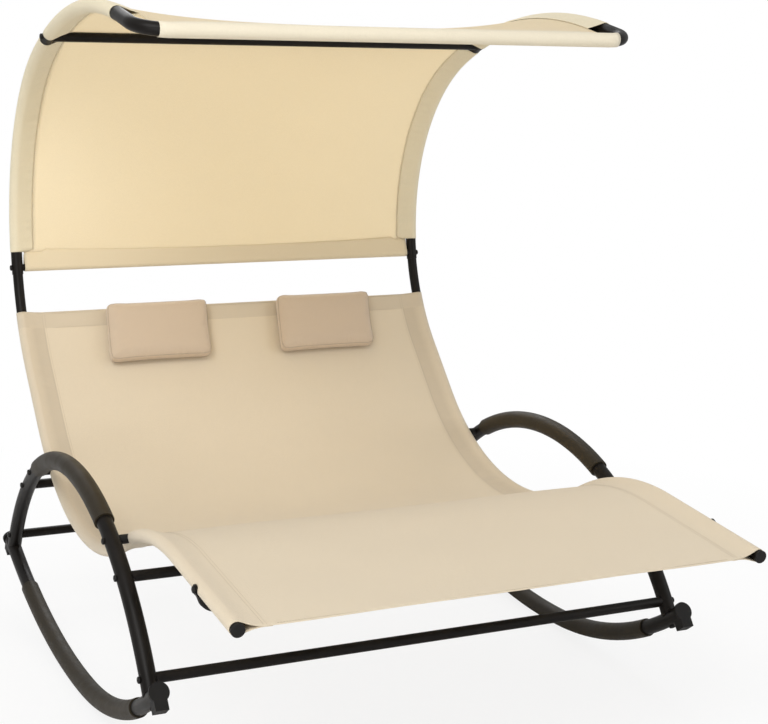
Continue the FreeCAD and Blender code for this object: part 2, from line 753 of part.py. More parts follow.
def panel_section(x, tip, tip_mid, lean, meet):
    """One half of the panel: from its tip to the shoulder bar, then over it to the meeting line."""
    share = max(0.03, (abs(x) / panel_half) ** canopy_pull)
    hub = ridge_hub + X * x

    def side(n):
        lift = unit(lean) * n
        a = tip + X * x + lift
        b, m, c = [hub + unit(deg) * (ridge_r + n) for deg in (lean, 0.5 * (lean + meet), meet)]
        return a, c, [bowed(a, b, tip_mid + X * x, share, lift * share), Part.Arc(b, m, c).toShape()]

    a, c, outer = side(0.5 * cloth)
    p, q, inner = side(-0.5 * cloth)
    edges = outer + inner + [Part.makeLine(a, p), Part.makeLine(c, q)]
    return Part.Wire(Part.__sortEdges__(edges))


def panel(tip, tip_mid, lean, meet):
    steps = [-1.0, -0.85, -0.65, -0.35, 0.0, 0.35, 0.65, 0.85, 1.0]
    sections = [panel_section(panel_half * t, tip, tip_mid, lean, meet) for t in steps]
    return Part.makeLoft(sections, True, False)


save("canopy_back_panel", [panel(low_tip, back_mid, back_lean, ridge_mid - ridge_gap)])
save("canopy_roof_panel", [panel(front_tip, roof_mid, roof_lean, ridge_mid + ridge_gap)])


# seat sling: flat cloth with a stitched sleeve round each seat tube
def sling_wire(s, r):
    half = 0.5 * sling_cloth
    seam_x = seat_x - sling_seam
    lean = math.atan2(half, -sling_seam)
    turn = lean - math.acos(r / math.hypot(sling_seam, half))
    base = seat.spot(s, 0.0)
    up = seat.inward(s)

    def at(x, n):
        return base + X * x + up * n

    def rim(angle):
        return at(seat_x + r * math.cos(angle), r * math.sin(angle))

    right = [Part.makeLine(at(seam_x, half), rim(turn))]
    right.append(Part.Arc(rim(turn), rim(0.5 * turn), rim(0.0)).toShape())
    right.append(Part.Arc(rim(0.0), rim(-0.5 * turn), rim(-turn)).toShape())
    right.append(Part.makeLine(rim(-turn), at(seam_x, -half)))
    left = [mirrored(e) for e in right]
    flat = [Part.makeLine(at(seam_x, n), at(-seam_x, n)) for n in (half, -half)]
    return Part.Wire(Part.__sortEdges__(right + left + flat))


sleeve_r = seat_r + cloth_fit
sling = sweep(seat.edges(sling_back, sling_top_s, 0.0), sling_wire(sling_back, sleeve_r + cloth))
cuts = []
hollow_tip = (sling_seam - 4.0) * sleeve_r / (sleeve_r + cloth)
hollow_from = sling_back - spare
hollow = teardrop(seat.spot(hollow_from, seat_x), X * -1.0, seat.inward(hollow_from), sleeve_r, hollow_tip)
cuts.append(sweep(seat.edges(hollow_from, sling_top_s + spare, seat_x), hollow))
corner_base = seat.spot(sling_back, 0.0)
corner_out = seat.ahead(sling_back)
corner_up = seat.inward(sling_back)
far_x = seat_x + 2.0 * sleeve_r
near = corner_base - corner_out - corner_up * 30.0
corner = [near + X * (seat_x - sling_seam), near + X * far_x, near + X * far_x + corner_out * sling_corner]
corner_face = Part.Face(Part.makePolygon(corner + [corner[0]]))
cuts.append(corner_face.extrude(corner_up * 60.0))
for spot in seat_bolt_spots:
    cuts.append(cross_rod(spacer_r + spacer_fit, spot, seat_x, frame_x))
cuts.append(cross_rod(lug_r + lug_fit, (lug_y, lug_z), seat_x, frame_x))
lug_room = Vector(seat_x - seat_r, lug_y - lug_r - lug_fit, lug_z - cut_reach)
cuts.append(Part.makeBox(2.0 * cut_reach, 2.0 * lug_r + 2.0 * lug_fit, cut_reach, lug_room))
for tool in cuts:
    sling = sling.cut(tool).cut(mirrored(tool))
sling = max(sling.Solids, key=lambda piece: piece.Volume)
edge_x = seat_x - sling_seam + 0.5 * rest_fit
edge_room = Part.makeBox(frame_x, 4.0 * seat.length, 4.0 * seat.length)
edge_room.translate(Vector(edge_x, -2.0 * seat.length, -2.0 * seat.length))
save_pair("sling_sleeve", sling.common(edge_room))
inner_room = edge_room.copy()
inner_room.translate(X * -rest_fit)
save("seat_sling", [sling.cut(inner_room).cut(mirrored(inner_room))])

# pillows: crowned front, drawn-in sides, back following the sling; hung by straps
strap_in = 0.5 * sling_cloth + cloth_fit
pillow_back = strap_in + strap_thick + cloth_fit
pillow_top_s = sling_top_s + pillow_over


def pillow_section(share):
    s = pillow_top_s - pillow_height * 0.5 * (1.0 - share)
    reach = abs(share)
    half = pillow_half - pillow_pull * (1.0 - reach * reach)
    full = 1.0 - reach ** 4
    side = pillow_edge * (0.5 + 0.5 * full)
    crown = pillow_edge + (pillow_thick - pillow_edge) * full
    base = seat.spot(s, 0.0) + seat.inward(s) * pillow_back
    up = seat.inward(s)
    a, b = base - X * half, base + X * half
    front = Part.Arc(b + up * side, base + up * crown, a + up * side).toShape()
    sides = [Part.makeLine(b, b + up * side), front, Part.makeLine(a + up * side, a)]
    return Part.Wire([Part.makeLine(a, b)] + sides)


pillow = Part.makeLoft([pillow_section(t) for t in (-1.0, -0.9, -0.5, 0.0, 0.5, 0.9, 1.0)], True, False)
for side, across in (("left", left_pillow_x), ("right", right_pillow_x)):
    save(side + "_pillow", [pillow.translated(X * across)])

on = seat.ahead(sling_top_s)
crest = seat.spot(sling_top_s, 0.0) + on * cloth_fit
turn_r = strap_in + 0.5 * strap_thick


def strap_side(n, s_end):
    marks = (sling_top_s, 0.5 * (sling_top_s + s_end), s_end)
    return [seat.spot(s, 0.0) + seat.inward(s) * n for s in marks]


front_leg = strap_side(turn_r, sling_top_s - strap_front)
rear_leg = strap_side(-turn_r, sling_top_s - strap_rear)
bow = [front_leg[0], crest + on * turn_r, rear_leg[0]]
strap_path = [Part.Arc(front_leg[2], front_leg[1], front_leg[0]).toShape()]
strap_path.append(Part.makeLine(front_leg[0], front_leg[0] + on * cloth_fit))
strap_path.append(Part.Arc(front_leg[0] + on * cloth_fit, bow[1], rear_leg[0] + on * cloth_fit).toShape())
strap_path.append(Part.makeLine(rear_leg[0] + on * cloth_fit, rear_leg[0]))
strap_path.append(Part.Arc(rear_leg[0], rear_leg[1], rear_leg[2]).toShape())
start_s = sling_top_s - strap_front
strap_up = seat.inward(start_s) * (0.5 * strap_thick)
strap_mid = front_leg[2]
half_wide = X * (0.5 * strap_width)
quad = [strap_mid - half_wide - strap_up, strap_mid + half_wide - strap_up]
quad += [strap_mid + half_wide + strap_up, strap_mid - half_wide + strap_up]
strap = sweep(strap_path, Part.makePolygon(quad + [quad[0]]))
for side, across in (("left", left_pillow_x), ("right", right_pillow_x)):
    save(side + "_pillow_strap", [strap.translated(X * across)])
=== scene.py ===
import json
import math

import bmesh
import bpy
import numpy as np
from mathutils import Matrix, Vector
from mathutils.bvhtree import BVHTree


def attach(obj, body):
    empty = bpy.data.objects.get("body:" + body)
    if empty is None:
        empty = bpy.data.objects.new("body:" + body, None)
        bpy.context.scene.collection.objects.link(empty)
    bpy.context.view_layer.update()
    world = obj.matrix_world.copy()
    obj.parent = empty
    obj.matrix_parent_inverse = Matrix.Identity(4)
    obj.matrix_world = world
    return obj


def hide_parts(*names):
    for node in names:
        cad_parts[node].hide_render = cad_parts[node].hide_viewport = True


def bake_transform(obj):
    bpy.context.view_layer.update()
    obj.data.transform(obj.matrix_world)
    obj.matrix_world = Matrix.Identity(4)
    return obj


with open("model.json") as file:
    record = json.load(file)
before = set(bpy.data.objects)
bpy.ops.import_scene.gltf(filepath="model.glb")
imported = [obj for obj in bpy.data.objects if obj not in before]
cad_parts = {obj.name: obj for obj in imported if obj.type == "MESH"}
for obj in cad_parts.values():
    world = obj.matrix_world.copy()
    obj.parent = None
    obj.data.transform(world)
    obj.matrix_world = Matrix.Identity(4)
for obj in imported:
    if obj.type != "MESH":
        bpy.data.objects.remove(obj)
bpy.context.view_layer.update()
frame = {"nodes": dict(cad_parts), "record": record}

# Double sun lounger with a canopy: cloth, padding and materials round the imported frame.
nodes = frame["nodes"]
scene = bpy.context.scene

# The lounger's side view, in metres, before it leans back on its rockers.
# Seat tube line from the foot end: a straight run, or a bend radius and its degrees.
BACK_BEND = 0.5406
SHAPE = [
    (0.3705, 0.0), (0.632, -33.9), (0.029, 0.0), (0.6375, 74.2),
    (0.183, 0.0), (BACK_BEND, 108.7), (1.181, 37.1), (0.135, 0.0),
]
BACK_LEG, ROOF_LEG, FRONT_LEG = 5, 6, 7
FOOT_Y, FOOT_Z, FOOT_RISE = -1.055, 0.4285, math.radians(8.5)
# How far it leans, the hub that it rolls about, and the shift to the frame's origin.
LEAN = math.radians(3.5)
ROLL_HUB = (-0.131, 1.833)
SHIFT = (0.23218, -0.002)

legs = []
y, z, h, s = FOOT_Y, FOOT_Z, FOOT_RISE, 0.0
for size, turn in SHAPE:
    length = size * abs(math.radians(turn)) if turn else size
    curl = math.copysign(1.0 / size, turn) if turn else 0.0
    legs.append((s, y, z, h, curl))
    s += length
    if curl:
        k = h + curl * length
        y += (math.sin(k) - math.sin(h)) / curl
        z += (math.cos(h) - math.cos(k)) / curl
        h = k
    else:
        y += length * math.cos(h)
        z += length * math.sin(h)

# Lengths along that line: where the back bends over, the sling's top edge, the hem bar,
# the shoulder bar, where the front tube laps the side tubes, and the front tube.
BACK = legs[BACK_LEG][0]
SLING_TOP = BACK + BACK_BEND * math.radians(18.1)
HEM = BACK + BACK_BEND * math.radians(30.0) + 0.019
SHOULDER = legs[ROOF_LEG][0] + 0.105
LAP = legs[FRONT_LEG][0] - 0.040
FRONT = s

# Half the seat tubes' spacing, and the radii of the tubes and bars that carry cloth.
TUBE_X = 0.620
SEAT_R, CANOPY_R, FRONT_R = 0.014, 0.0155, 0.016
SHOULDER_R, HEM_R = 0.0125, 0.010
# From a bar to the middle of the canopy cloth round it, between two sewn layers, and how thick cloth is.
COVER = 0.0009
LAYER = 0.0014
SLING_THICK, CANOPY_THICK = 0.0012, 0.0011


def line(s):
    """Side-view y, z and heading at lengths s along the seat tube line."""
    s = np.asarray(s, float)
    out = np.zeros(s.shape + (3,))
    for start, y, z, h, curl in legs:
        d = s - start
        k = h + curl * d
        if curl:
            yy = y + (np.sin(k) - math.sin(h)) / curl
            zz = z + (math.cos(h) - np.cos(k)) / curl
        else:
            yy = y + d * math.cos(h)
            zz = z + d * math.sin(h)
        use = (d >= 0.0) | (start == 0.0)
        out[use] = np.stack([yy, zz, k + 0.0 * d], -1)[use]
    return out


def row(x, y, z):
    """Side-view spots in the model's own frame, leaned back on the rockers."""
    dy, dz = y - ROLL_HUB[0], z - ROLL_HUB[1]
    c, t = math.cos(LEAN), math.sin(LEAN)
    yy = ROLL_HUB[0] + dy * c + dz * t + SHIFT[0]
    zz = ROLL_HUB[1] - dy * t + dz * c + SHIFT[1]
    return np.stack(np.broadcast_arrays(x, yy, zz), -1)


def off(s, n):
    """Side-view spots at lengths s, n to the sitter's side of the line."""
    p = line(s)
    return p[..., 0] - np.sin(p[..., 2]) * n, p[..., 1] + np.cos(p[..., 2]) * n


def place(x, s, n):
    """Spots in the model's own frame, x off the middle, at lengths s, n off the line."""
    y, z = off(s, n)
    return row(x, y, z)


def ease(a):
    """A smooth step from 0 to 1."""
    a = np.clip(a, 0.0, 1.0)
    return a * a * (3.0 - 2.0 * a)


def unit(v):
    return v / np.linalg.norm(v, axis=-1, keepdims=True)


def around(a):
    """Spots on a unit circle at angles a."""
    return np.stack([np.cos(a), np.sin(a)], -1)


def lengths(points):
    """Length along a polyline at each of its points."""
    return np.concatenate([[0.0], np.cumsum(np.linalg.norm(np.diff(points, axis=0), axis=-1))])


# Meshes

# A way that no seam runs along, which sets how a cord's sides lie.
CORD_SIDE = (0.31, 0.52, 0.79)


def mesh_object(name, points, faces, uv, material):
    mesh = bpy.data.meshes.new(name)
    mesh.from_pydata(np.asarray(points).reshape(-1, 3).tolist(), [], faces)
    if uv is not None:
        layer = mesh.uv_layers.new(name="UVMap")
        loops = np.empty(len(mesh.loops), np.int32)
        mesh.loops.foreach_get("vertex_index", loops)
        layer.data.foreach_set("uv", np.asarray(uv, np.float32).reshape(-1, 2)[loops].ravel())
    mesh.polygons.foreach_set("use_smooth", [True] * len(mesh.polygons))
    mesh.materials.append(material)
    obj = bpy.data.objects.new(name, mesh)
    scene.collection.objects.link(obj)
    return obj


def quads(rows, cols, wrap=False):
    i = np.arange(rows * cols).reshape(rows, cols)
    if wrap:
        i = np.concatenate([i, i[:, :1]], 1)
    return np.stack([i[:-1, :-1], i[:-1, 1:], i[1:, 1:], i[1:, :-1]], -1).reshape(-1, 4).tolist()


def grid(name, points, u, v, material):
    """Sheet over rows and columns of points, with UVs in metres."""
    uv = np.stack(np.broadcast_arrays(u, v), -1)
    return mesh_object(name, points, quads(*points.shape[:2]), uv, material)


def thicken(obj, thickness):
    mod = obj.modifiers.new("thickness", "SOLIDIFY")
    mod.thickness = thickness
    mod.offset = 0.0
    mod.use_even_offset = True


def bake_modifiers(obj):
    """Applies the object's modifiers to its mesh."""
    deps = bpy.context.evaluated_depsgraph_get()
    mesh = bpy.data.meshes.new_from_object(obj.evaluated_get(deps), depsgraph=deps)
    obj.modifiers.clear()
    old = obj.data
    obj.data = mesh
    bpy.data.meshes.remove(old)


def closed_cord(name, path, radius, material, sides=6):
    """Thin round cord along a closed polyline."""
    ahead = unit(np.roll(path, -1, 0) - np.roll(path, 1, 0))
    side = unit(np.cross(ahead, CORD_SIDE))
    up = np.cross(side, ahead)
    a = np.linspace(0.0, 2.0 * math.pi, sides, endpoint=False)
    spoke = np.cos(a)[None, :, None] * side[:, None] + np.sin(a)[None, :, None] * up[:, None]
    ring = path[:, None] + radius * spoke
    ring = np.concatenate([ring, ring[:1]])
    return mesh_object(name, ring, quads(len(ring), sides, True), None, material)


def stitch_row(points, ups, pitch=0.0062, long=0.0043, wide=0.0010, high=0.0006):
    """Small raised thread stitches along a line on a surface."""
    run = lengths(points)
    at = np.arange(pitch, run[-1] - pitch, pitch)

    def pick(values, d):
        return np.stack([np.interp(d, run, values[:, k]) for k in range(3)], -1)

    a, b = pick(points, at - 0.5 * long), pick(points, at + 0.5 * long)
    n, t = unit(pick(ups, at)), unit(b - a)
    side = np.cross(n, t) * 0.5 * wide
    verts = np.stack([a - side, b - side, b + side, a + side,
                      a + t * 0.2 * long + n * high, b - t * 0.2 * long + n * high], 1)
    faces = []
    for o in range(0, 6 * len(at), 6):
        faces += [(o, o + 1, o + 5, o + 4), (o + 2, o + 3, o + 4, o + 5),
                  (o + 1, o + 2, o + 5), (o + 3, o, o + 4)]
    return verts.reshape(-1, 3), faces


def stitches(name, rows, material):
    verts, faces = [], []
    for points, ups in rows:
        v, f = stitch_row(points, ups)
        base = sum(len(p) for p in verts)
        faces += [tuple(i + base for i in q) for q in f]
        verts.append(v)
    obj = mesh_object(name, np.concatenate(verts), faces, None, material)
    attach(obj, "lounger")
    return obj


# Materials

DUST = (0.060, 0.054, 0.048)
SUNLIT = (0.98, 0.88, 0.68)
# The sling's hem tint: painted shade up the back of the side hems, and a darker top hem.
SLING_HEM = (0.598, 0.508, 0.382)
# Painted warm shade for the canopy's doubled rear hem.
CANOPY_HEM_SHADE = (0.800, 0.660, 0.430)
# The share of light that two layers of canopy cloth let through, and half a seam's soft edge.
DOUBLE_GLOW = 0.10
SEAM_SOFT = 0.004
# The sling's side seams off the middle, and the depth of its top hem.
BAND = 0.561
TOP_HEM = 0.048
# The side hems' tint thins out, off the middle, where the cloth turns round a tube; up the back it grows,
# as painted shade.
TINT_THINS = (0.592, 0.614)
PAINTED_SHADE_GROWS = (0.50, 1.10)
# Lengths along the canopy sheet, from its sewn rear end, of the rear and the front seam.
REAR_SEAM, FRONT_SEAM = 0.1206, 1.5913


def paint(name, colour, rough, metal=0.0):
    mat = bpy.data.materials.new(name)
    mat.use_nodes = True
    tree = mat.node_tree
    shader = tree.nodes["Principled BSDF"]
    shader.inputs["Base Color"].default_value = (*colour, 1.0)
    shader.inputs["Roughness"].default_value = rough
    shader.inputs["Metallic"].default_value = metal
    return mat, tree, shader


def shade(colour, by):
    return tuple(by * c for c in colour)


def node(tree, kind, links=None, **values):
    """New node. A value named i_Name sets the input Name, any other sets the node itself."""
    n = tree.nodes.new(kind)
    for key, value in values.items():
        if key.startswith("i_"):
            n.inputs[key[2:].replace("_", " ")].default_value = value
        else:
            setattr(n, key, value)
    for key, source in (links or {}).items():
        tree.links.new(source, n.inputs[key])
    return n


def feed(tree, socket, value):
    """Sets an input to a number or a colour, or links it to another node's output."""
    if isinstance(value, (int, float)):
        socket.default_value = value
    elif isinstance(value, tuple):
        socket.default_value = (*value, 1.0)
    else:
        tree.links.new(value, socket)


def maths(tree, how, a, b=None):
    n = node(tree, "ShaderNodeMath", operation=how)
    feed(tree, n.inputs[0], a)
    if b is not None:
        feed(tree, n.inputs[1], b)
    return n.outputs[0]


def mix(tree, factor, a, b):
    n = node(tree, "ShaderNodeMix", data_type="RGBA")
    for key, value in ((0, factor), (6, a), (7, b)):
        feed(tree, n.inputs[key], value)
    return n.outputs[2]


def mix_shaders(tree, factor, a, b):
    """Sends two shaders, mixed, to the material's output."""
    n = node(tree, "ShaderNodeMixShader", {1: a.outputs[0], 2: b.outputs[0]})
    feed(tree, n.inputs[0], factor)
    tree.links.new(n.outputs[0], tree.nodes["Material Output"].inputs[0])


def noise(tree, where, scale, detail=3.0, rough=0.55):
    n = node(tree, "ShaderNodeTexNoise", {"Vector": where},
             i_Scale=scale, i_Detail=detail, i_Roughness=rough)
    return n.outputs[0]


def ramp(tree, value, low, high, a=0.0, b=1.0):
    n = node(tree, "ShaderNodeMapRange", {0: value})
    for k, v in enumerate((low, high, a, b)):
        n.inputs[k + 1].default_value = v
    return n.outputs[0]


def bump(tree, shader, height, strength, distance, below=None):
    n = node(tree, "ShaderNodeBump", {"Height": height}, i_Strength=strength, i_Distance=distance)
    if below:
        tree.links.new(below.outputs[0], n.inputs["Normal"])
    tree.links.new(n.outputs[0], shader.inputs["Normal"])
    return n


def object_spot(tree):
    return tree.nodes.new("ShaderNodeTexCoord").outputs["Object"]


def coated_metal(name, colour, rough):
    """Powder coat: fine orange peel, dust on what faces up, faint rubbed patches."""
    mat, tree, shader = paint(name, colour, rough)
    spot = object_spot(tree)
    cloud = noise(tree, spot, 9.0, 4.0)
    rub = ramp(tree, noise(tree, spot, 60.0, 5.0, 0.7), 0.60, 0.78)
    normal = tree.nodes.new("ShaderNodeNewGeometry").outputs["Normal"]
    up = node(tree, "ShaderNodeSeparateXYZ", {"Vector": normal}).outputs["Z"]
    dust = maths(tree, "MULTIPLY", ramp(tree, up, 0.2, 1.0), ramp(tree, cloud, 0.35, 0.75, 0.0, 0.18))
    base = mix(tree, ramp(tree, cloud, 0.3, 0.7), colour, shade(colour, 1.45))
    base = mix(tree, dust, base, DUST)
    base = mix(tree, maths(tree, "MULTIPLY", rub, 0.35), base, tuple(2.2 * c + 0.006 for c in colour))
    tree.links.new(base, shader.inputs["Base Color"])
    uneven = ramp(tree, cloud, 0.3, 0.7, rough - 0.05, rough + 0.07)
    dusty = maths(tree, "ADD", uneven, maths(tree, "MULTIPLY", dust, 0.5))
    tree.links.new(dusty, shader.inputs["Roughness"])
    bump(tree, shader, noise(tree, spot, 900.0, 2.0), 0.16, 0.0004)
    shader.inputs["Specular IOR Level"].default_value = 0.17
    return mat


def foam_skin(name, colour):
    """Closed-cell foam: matt, pitted and slightly blotchy."""
    mat, tree, shader = paint(name, colour, 0.9)
    spot = object_spot(tree)
    blotch = noise(tree, spot, 22.0, 4.0)
    cells = node(tree, "ShaderNodeTexVoronoi", {"Vector": spot}, i_Scale=520.0)
    pits = ramp(tree, cells.outputs["Distance"], 0.0, 0.55)
    base = mix(tree, ramp(tree, blotch, 0.3, 0.72), shade(colour, 0.86), shade(colour, 1.18))
    # Darker at the bottoms of the pits: painted shade.
    base = mix(tree, ramp(tree, pits, 0.0, 0.5, 0.35, 0.0), base, shade(colour, 0.5))
    tree.links.new(base, shader.inputs["Base Color"])
    tree.links.new(ramp(tree, blotch, 0.3, 0.7, 0.46, 0.58), shader.inputs["Roughness"])
    fine = bump(tree, shader, pits, 0.25, 0.0006)
    bump(tree, shader, noise(tree, spot, 45.0, 3.0), 0.25, 0.002, fine)
    shader.inputs["Specular IOR Level"].default_value = 0.27
    return mat


def moulded(name, colour):
    """Moulded plastic with a fine spark-eroded grain."""
    mat, tree, shader = paint(name, colour, 0.55)
    spot = object_spot(tree)
    grain = noise(tree, spot, 650.0, 3.0, 0.6)
    wide = noise(tree, spot, 35.0, 3.0)
    base = mix(tree, ramp(tree, wide, 0.3, 0.7), colour, shade(colour, 1.5))
    tree.links.new(base, shader.inputs["Base Color"])
    tree.links.new(ramp(tree, wide, 0.3, 0.7, 0.5, 0.64), shader.inputs["Roughness"])
    bump(tree, shader, grain, 0.22, 0.0004)
    shader.inputs["Specular IOR Level"].default_value = 0.22
    return mat


def plated(name, colour):
    """Plain zinc with a turned grain."""
    mat, tree, shader = paint(name, colour, 0.4, 1.0)
    grain = node(tree, "ShaderNodeMapping", {"Vector": object_spot(tree)}, i_Scale=(900.0, 40.0, 40.0))
    lines = noise(tree, grain.outputs[0], 1.0, 3.0)
    base = mix(tree, lines, shade(colour, 0.85), shade(colour, 1.1))
    tree.links.new(base, shader.inputs["Base Color"])
    tree.links.new(ramp(tree, lines, 0.3, 0.7, 0.33, 0.48), shader.inputs["Roughness"])
    bump(tree, shader, lines, 0.1, 0.0003)
    return mat


def woven(name, colour, thread, ribs=1.0, sheen=0.25, deep=0.45, bands=None, glow=0.0, doubled=None):
    """Cloth woven from threads of a given pitch, over UVs in metres.

    bands tints it by place. glow is the share of light let through, less outside the doubled lengths.
    """
    mat, tree, shader = paint(name, colour, 0.85)
    coords = tree.nodes.new("ShaderNodeTexCoord").outputs["UV"]
    uv = node(tree, "ShaderNodeSeparateXYZ", {"Vector": coords})
    u, v = uv.outputs["X"], uv.outputs["Y"]
    a = maths(tree, "SINE", maths(tree, "MULTIPLY", u, math.pi / thread))
    b = maths(tree, "SINE", maths(tree, "MULTIPLY", v, math.pi / (thread * ribs)))
    over = maths(tree, "GREATER_THAN", maths(tree, "MULTIPLY", a, b), 0.0)
    under = maths(tree, "SUBTRACT", 1.0, over)
    warp = maths(tree, "MULTIPLY", over, maths(tree, "ABSOLUTE", a))
    weft = maths(tree, "MULTIPLY", under, maths(tree, "ABSOLUTE", b))
    height = maths(tree, "ADD", warp, weft)
    spot = object_spot(tree)
    cloud = noise(tree, spot, 5.0, 4.0)
    slub = noise(tree, spot, 180.0, 3.0, 0.7)
    # Darker in the dips between threads, lighter on their crests: painted shade and painted light.
    low = shade(colour, 1.0 - deep * 0.5)
    high = tuple(min(1.0, c) for c in shade(colour, 1.0 + deep * 0.13))
    base = mix(tree, ramp(tree, height, 0.05, 0.85), low, high)
    base = mix(tree, ramp(tree, over, 0.0, 1.0, 0.0, 0.12), base, shade(colour, 0.82))
    base = mix(tree, ramp(tree, slub, 0.35, 0.7, 0.0, 0.16), base, shade(colour, 0.78))
    base = mix(tree, ramp(tree, cloud, 0.35, 0.7, 0.0, 0.12), base, shade(colour, 0.86))
    if bands:
        base = bands(tree, base, u, v)
    tree.links.new(base, shader.inputs["Base Color"])
    tree.links.new(ramp(tree, slub, 0.3, 0.7, 0.78, 0.92), shader.inputs["Roughness"])
    fine = bump(tree, shader, height, 0.45, thread * 0.35)
    rumpled = bump(tree, shader, noise(tree, spot, 26.0, 4.0), 0.12, 0.003, fine)
    shader.inputs["Sheen Weight"].default_value = sheen
    shader.inputs["Sheen Roughness"].default_value = 0.45
    shader.inputs["Specular IOR Level"].default_value = 0.2
    if glow:
        thin = node(tree, "ShaderNodeBsdfTranslucent", {"Normal": rumpled.outputs[0]})
        tree.links.new(mix(tree, 0.5, base, SUNLIT), thin.inputs["Color"])
        share = glow
        if doubled:
            rear = ramp(tree, v, doubled[0] - SEAM_SOFT, doubled[0] + SEAM_SOFT)
            front = ramp(tree, v, doubled[1] - SEAM_SOFT, doubled[1] + SEAM_SOFT, 1.0, 0.0)
            share = ramp(tree, maths(tree, "MULTIPLY", rear, front), 0.0, 1.0, DOUBLE_GLOW, glow)
        mix_shaders(tree, share, shader, thin)
    return mat


def sling_bands(tree, base, u, v):
    """The doubled side hems are tinted darker, little at the foot and most up the back: painted shade. The
    top hem sewn over them is tinted darker all across.
    """
    out = maths(tree, "ABSOLUTE", u)
    beyond = maths(tree, "GREATER_THAN", out, BAND)
    side = maths(tree, "MULTIPLY", beyond, ramp(tree, out, *TINT_THINS, 1.0, 0.35))
    top = maths(tree, "GREATER_THAN", v, SLING_TOP - TOP_HEM)
    # Painted shade: the side hems' tint grows up the back.
    side = maths(tree, "MULTIPLY", side, ramp(tree, v, *PAINTED_SHADE_GROWS, 0.03, 0.85))
    side = maths(tree, "MULTIPLY", side, ramp(tree, top, 0.0, 1.0, 1.0, 0.70))
    both = maths(tree, "MAXIMUM", side, maths(tree, "MULTIPLY", top, 0.60))
    return mix(tree, both, base, SLING_HEM)


def canopy_bands(tree, base, u, v):
    """The doubled rear hem is tinted darker and yellower: painted warm shade."""
    hem = ramp(tree, v, REAR_SEAM - SEAM_SOFT, REAR_SEAM + SEAM_SOFT, 0.70, 0.0)
    return mix(tree, hem, base, CANOPY_HEM_SHADE)


TUBE = (0.0056, 0.0044, 0.0036)
BOLT = (0.010, 0.0095, 0.009)
ZINC = (0.45, 0.45, 0.46)
FOAM = (0.0250, 0.0185, 0.0095)
PLASTIC = (0.0075, 0.0070, 0.0066)
SLING = (0.775, 0.665, 0.500)
ROOF = (0.925, 0.840, 0.660)
# The canopy cloth painted darker and yellower for the side pockets: painted warm shade.
POCKET_SHADED = (0.900, 0.805, 0.590)
PILLOW = (0.655, 0.525, 0.390)
# Pitch of the threads in the sling, the canopy, the pillows and the sewing.
SLING_PITCH, CANOPY_PITCH, PILLOW_PITCH, SEWING_PITCH = 0.0016, 0.0007, 0.0013, 0.0005
slots = {
    "black_tube": coated_metal("powder_coat", TUBE, 0.40),
    "black_bolt": coated_metal("black_bolt", BOLT, 0.34),
    "insert_steel": plated("zinc", ZINC),
    "foam": foam_skin("foam_sleeve", FOAM),
    "black_plastic": moulded("moulded_black", PLASTIC),
    "sling_cloth": woven("sling_mesh", SLING, SLING_PITCH, 1.35, bands=sling_bands),
    "canopy_cloth": woven("canopy_weave", ROOF, CANOPY_PITCH, sheen=0.12, deep=0.22, bands=canopy_bands,
                          glow=0.50, doubled=(REAR_SEAM, FRONT_SEAM)),
    "pillow_cloth": woven("pillow_weave", PILLOW, PILLOW_PITCH, 1.2, sheen=0.35),
}
pocket_cloth = woven("canopy_pocket_weave", POCKET_SHADED, CANOPY_PITCH, sheen=0.12, deep=0.22, glow=DOUBLE_GLOW)
sling_thread = woven("sling_thread", (0.66, 0.55, 0.40), SEWING_PITCH)
pillow_thread = woven("pillow_thread", (0.52, 0.41, 0.30), SEWING_PITCH)
for part in frame["record"]["subparts"]:
    obj = nodes.get(part["node"])
    if obj is not None and obj.type == "MESH":
        obj.data.materials.clear()
        obj.data.materials.append(slots[part["material_slot"]])


def finish_piece(obj, body, slot, *replaced):
    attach(obj, body)
    if replaced:
        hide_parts(*replaced)


# Sling: one strip, wrapped round both seat tubes and sewn back on itself.
# Off the middle: where its lower layer ends, and where the layers part, over a bend, to go round a tube.
SEAM = 0.550
MEET = 0.578
BEND = 0.018
SLING_ROWS = 241
SLING_COVER = 0.0010
# The foot edge stands back from the tubes' ends, and further back in the loops round the tubes.
FOOT_CUT, LOOP_CUT, LOOP_RUN = 0.0015, 0.008, 0.0986
SLACK_HIGH = 0.0012
# Gathers beside the side seams: their size, the strip that they lie in, and the length that they start at.
GATHER_HIGH, GATHER_LONG = 0.0017, 0.036
GATHER_IN, GATHER_OUT = 0.566, 0.606
GATHER_FROM = 0.9
wrap_r = SEAT_R + SLING_COVER
slant = math.acos(wrap_r / (TUBE_X - MEET))
arc = np.linspace(math.pi - slant, -(math.pi - slant), 25)
arc_x, arc_n = TUBE_X + wrap_r * np.cos(arc), wrap_r * np.sin(arc)


def eased(x0, x1, n1, count):
    """Spots from a flat run that turns up, or down, through a short round bend to a given end."""
    a = np.linspace(0.0, 1.0, count)
    slope = n1 / (x1 - x0)
    x = x0 - BEND + a * (x1 - x0 + BEND)
    inner = np.clip(x - (x0 - BEND), 0.0, 2.0 * BEND)
    return x, slope * (inner ** 2 / (4.0 * BEND) + np.clip(x - x0 - BEND, 0.0, None))


def mirrored(half, sign=1.0):
    """Both sides of a run that starts at the middle."""
    return np.concatenate([sign * half[:0:-1], half])


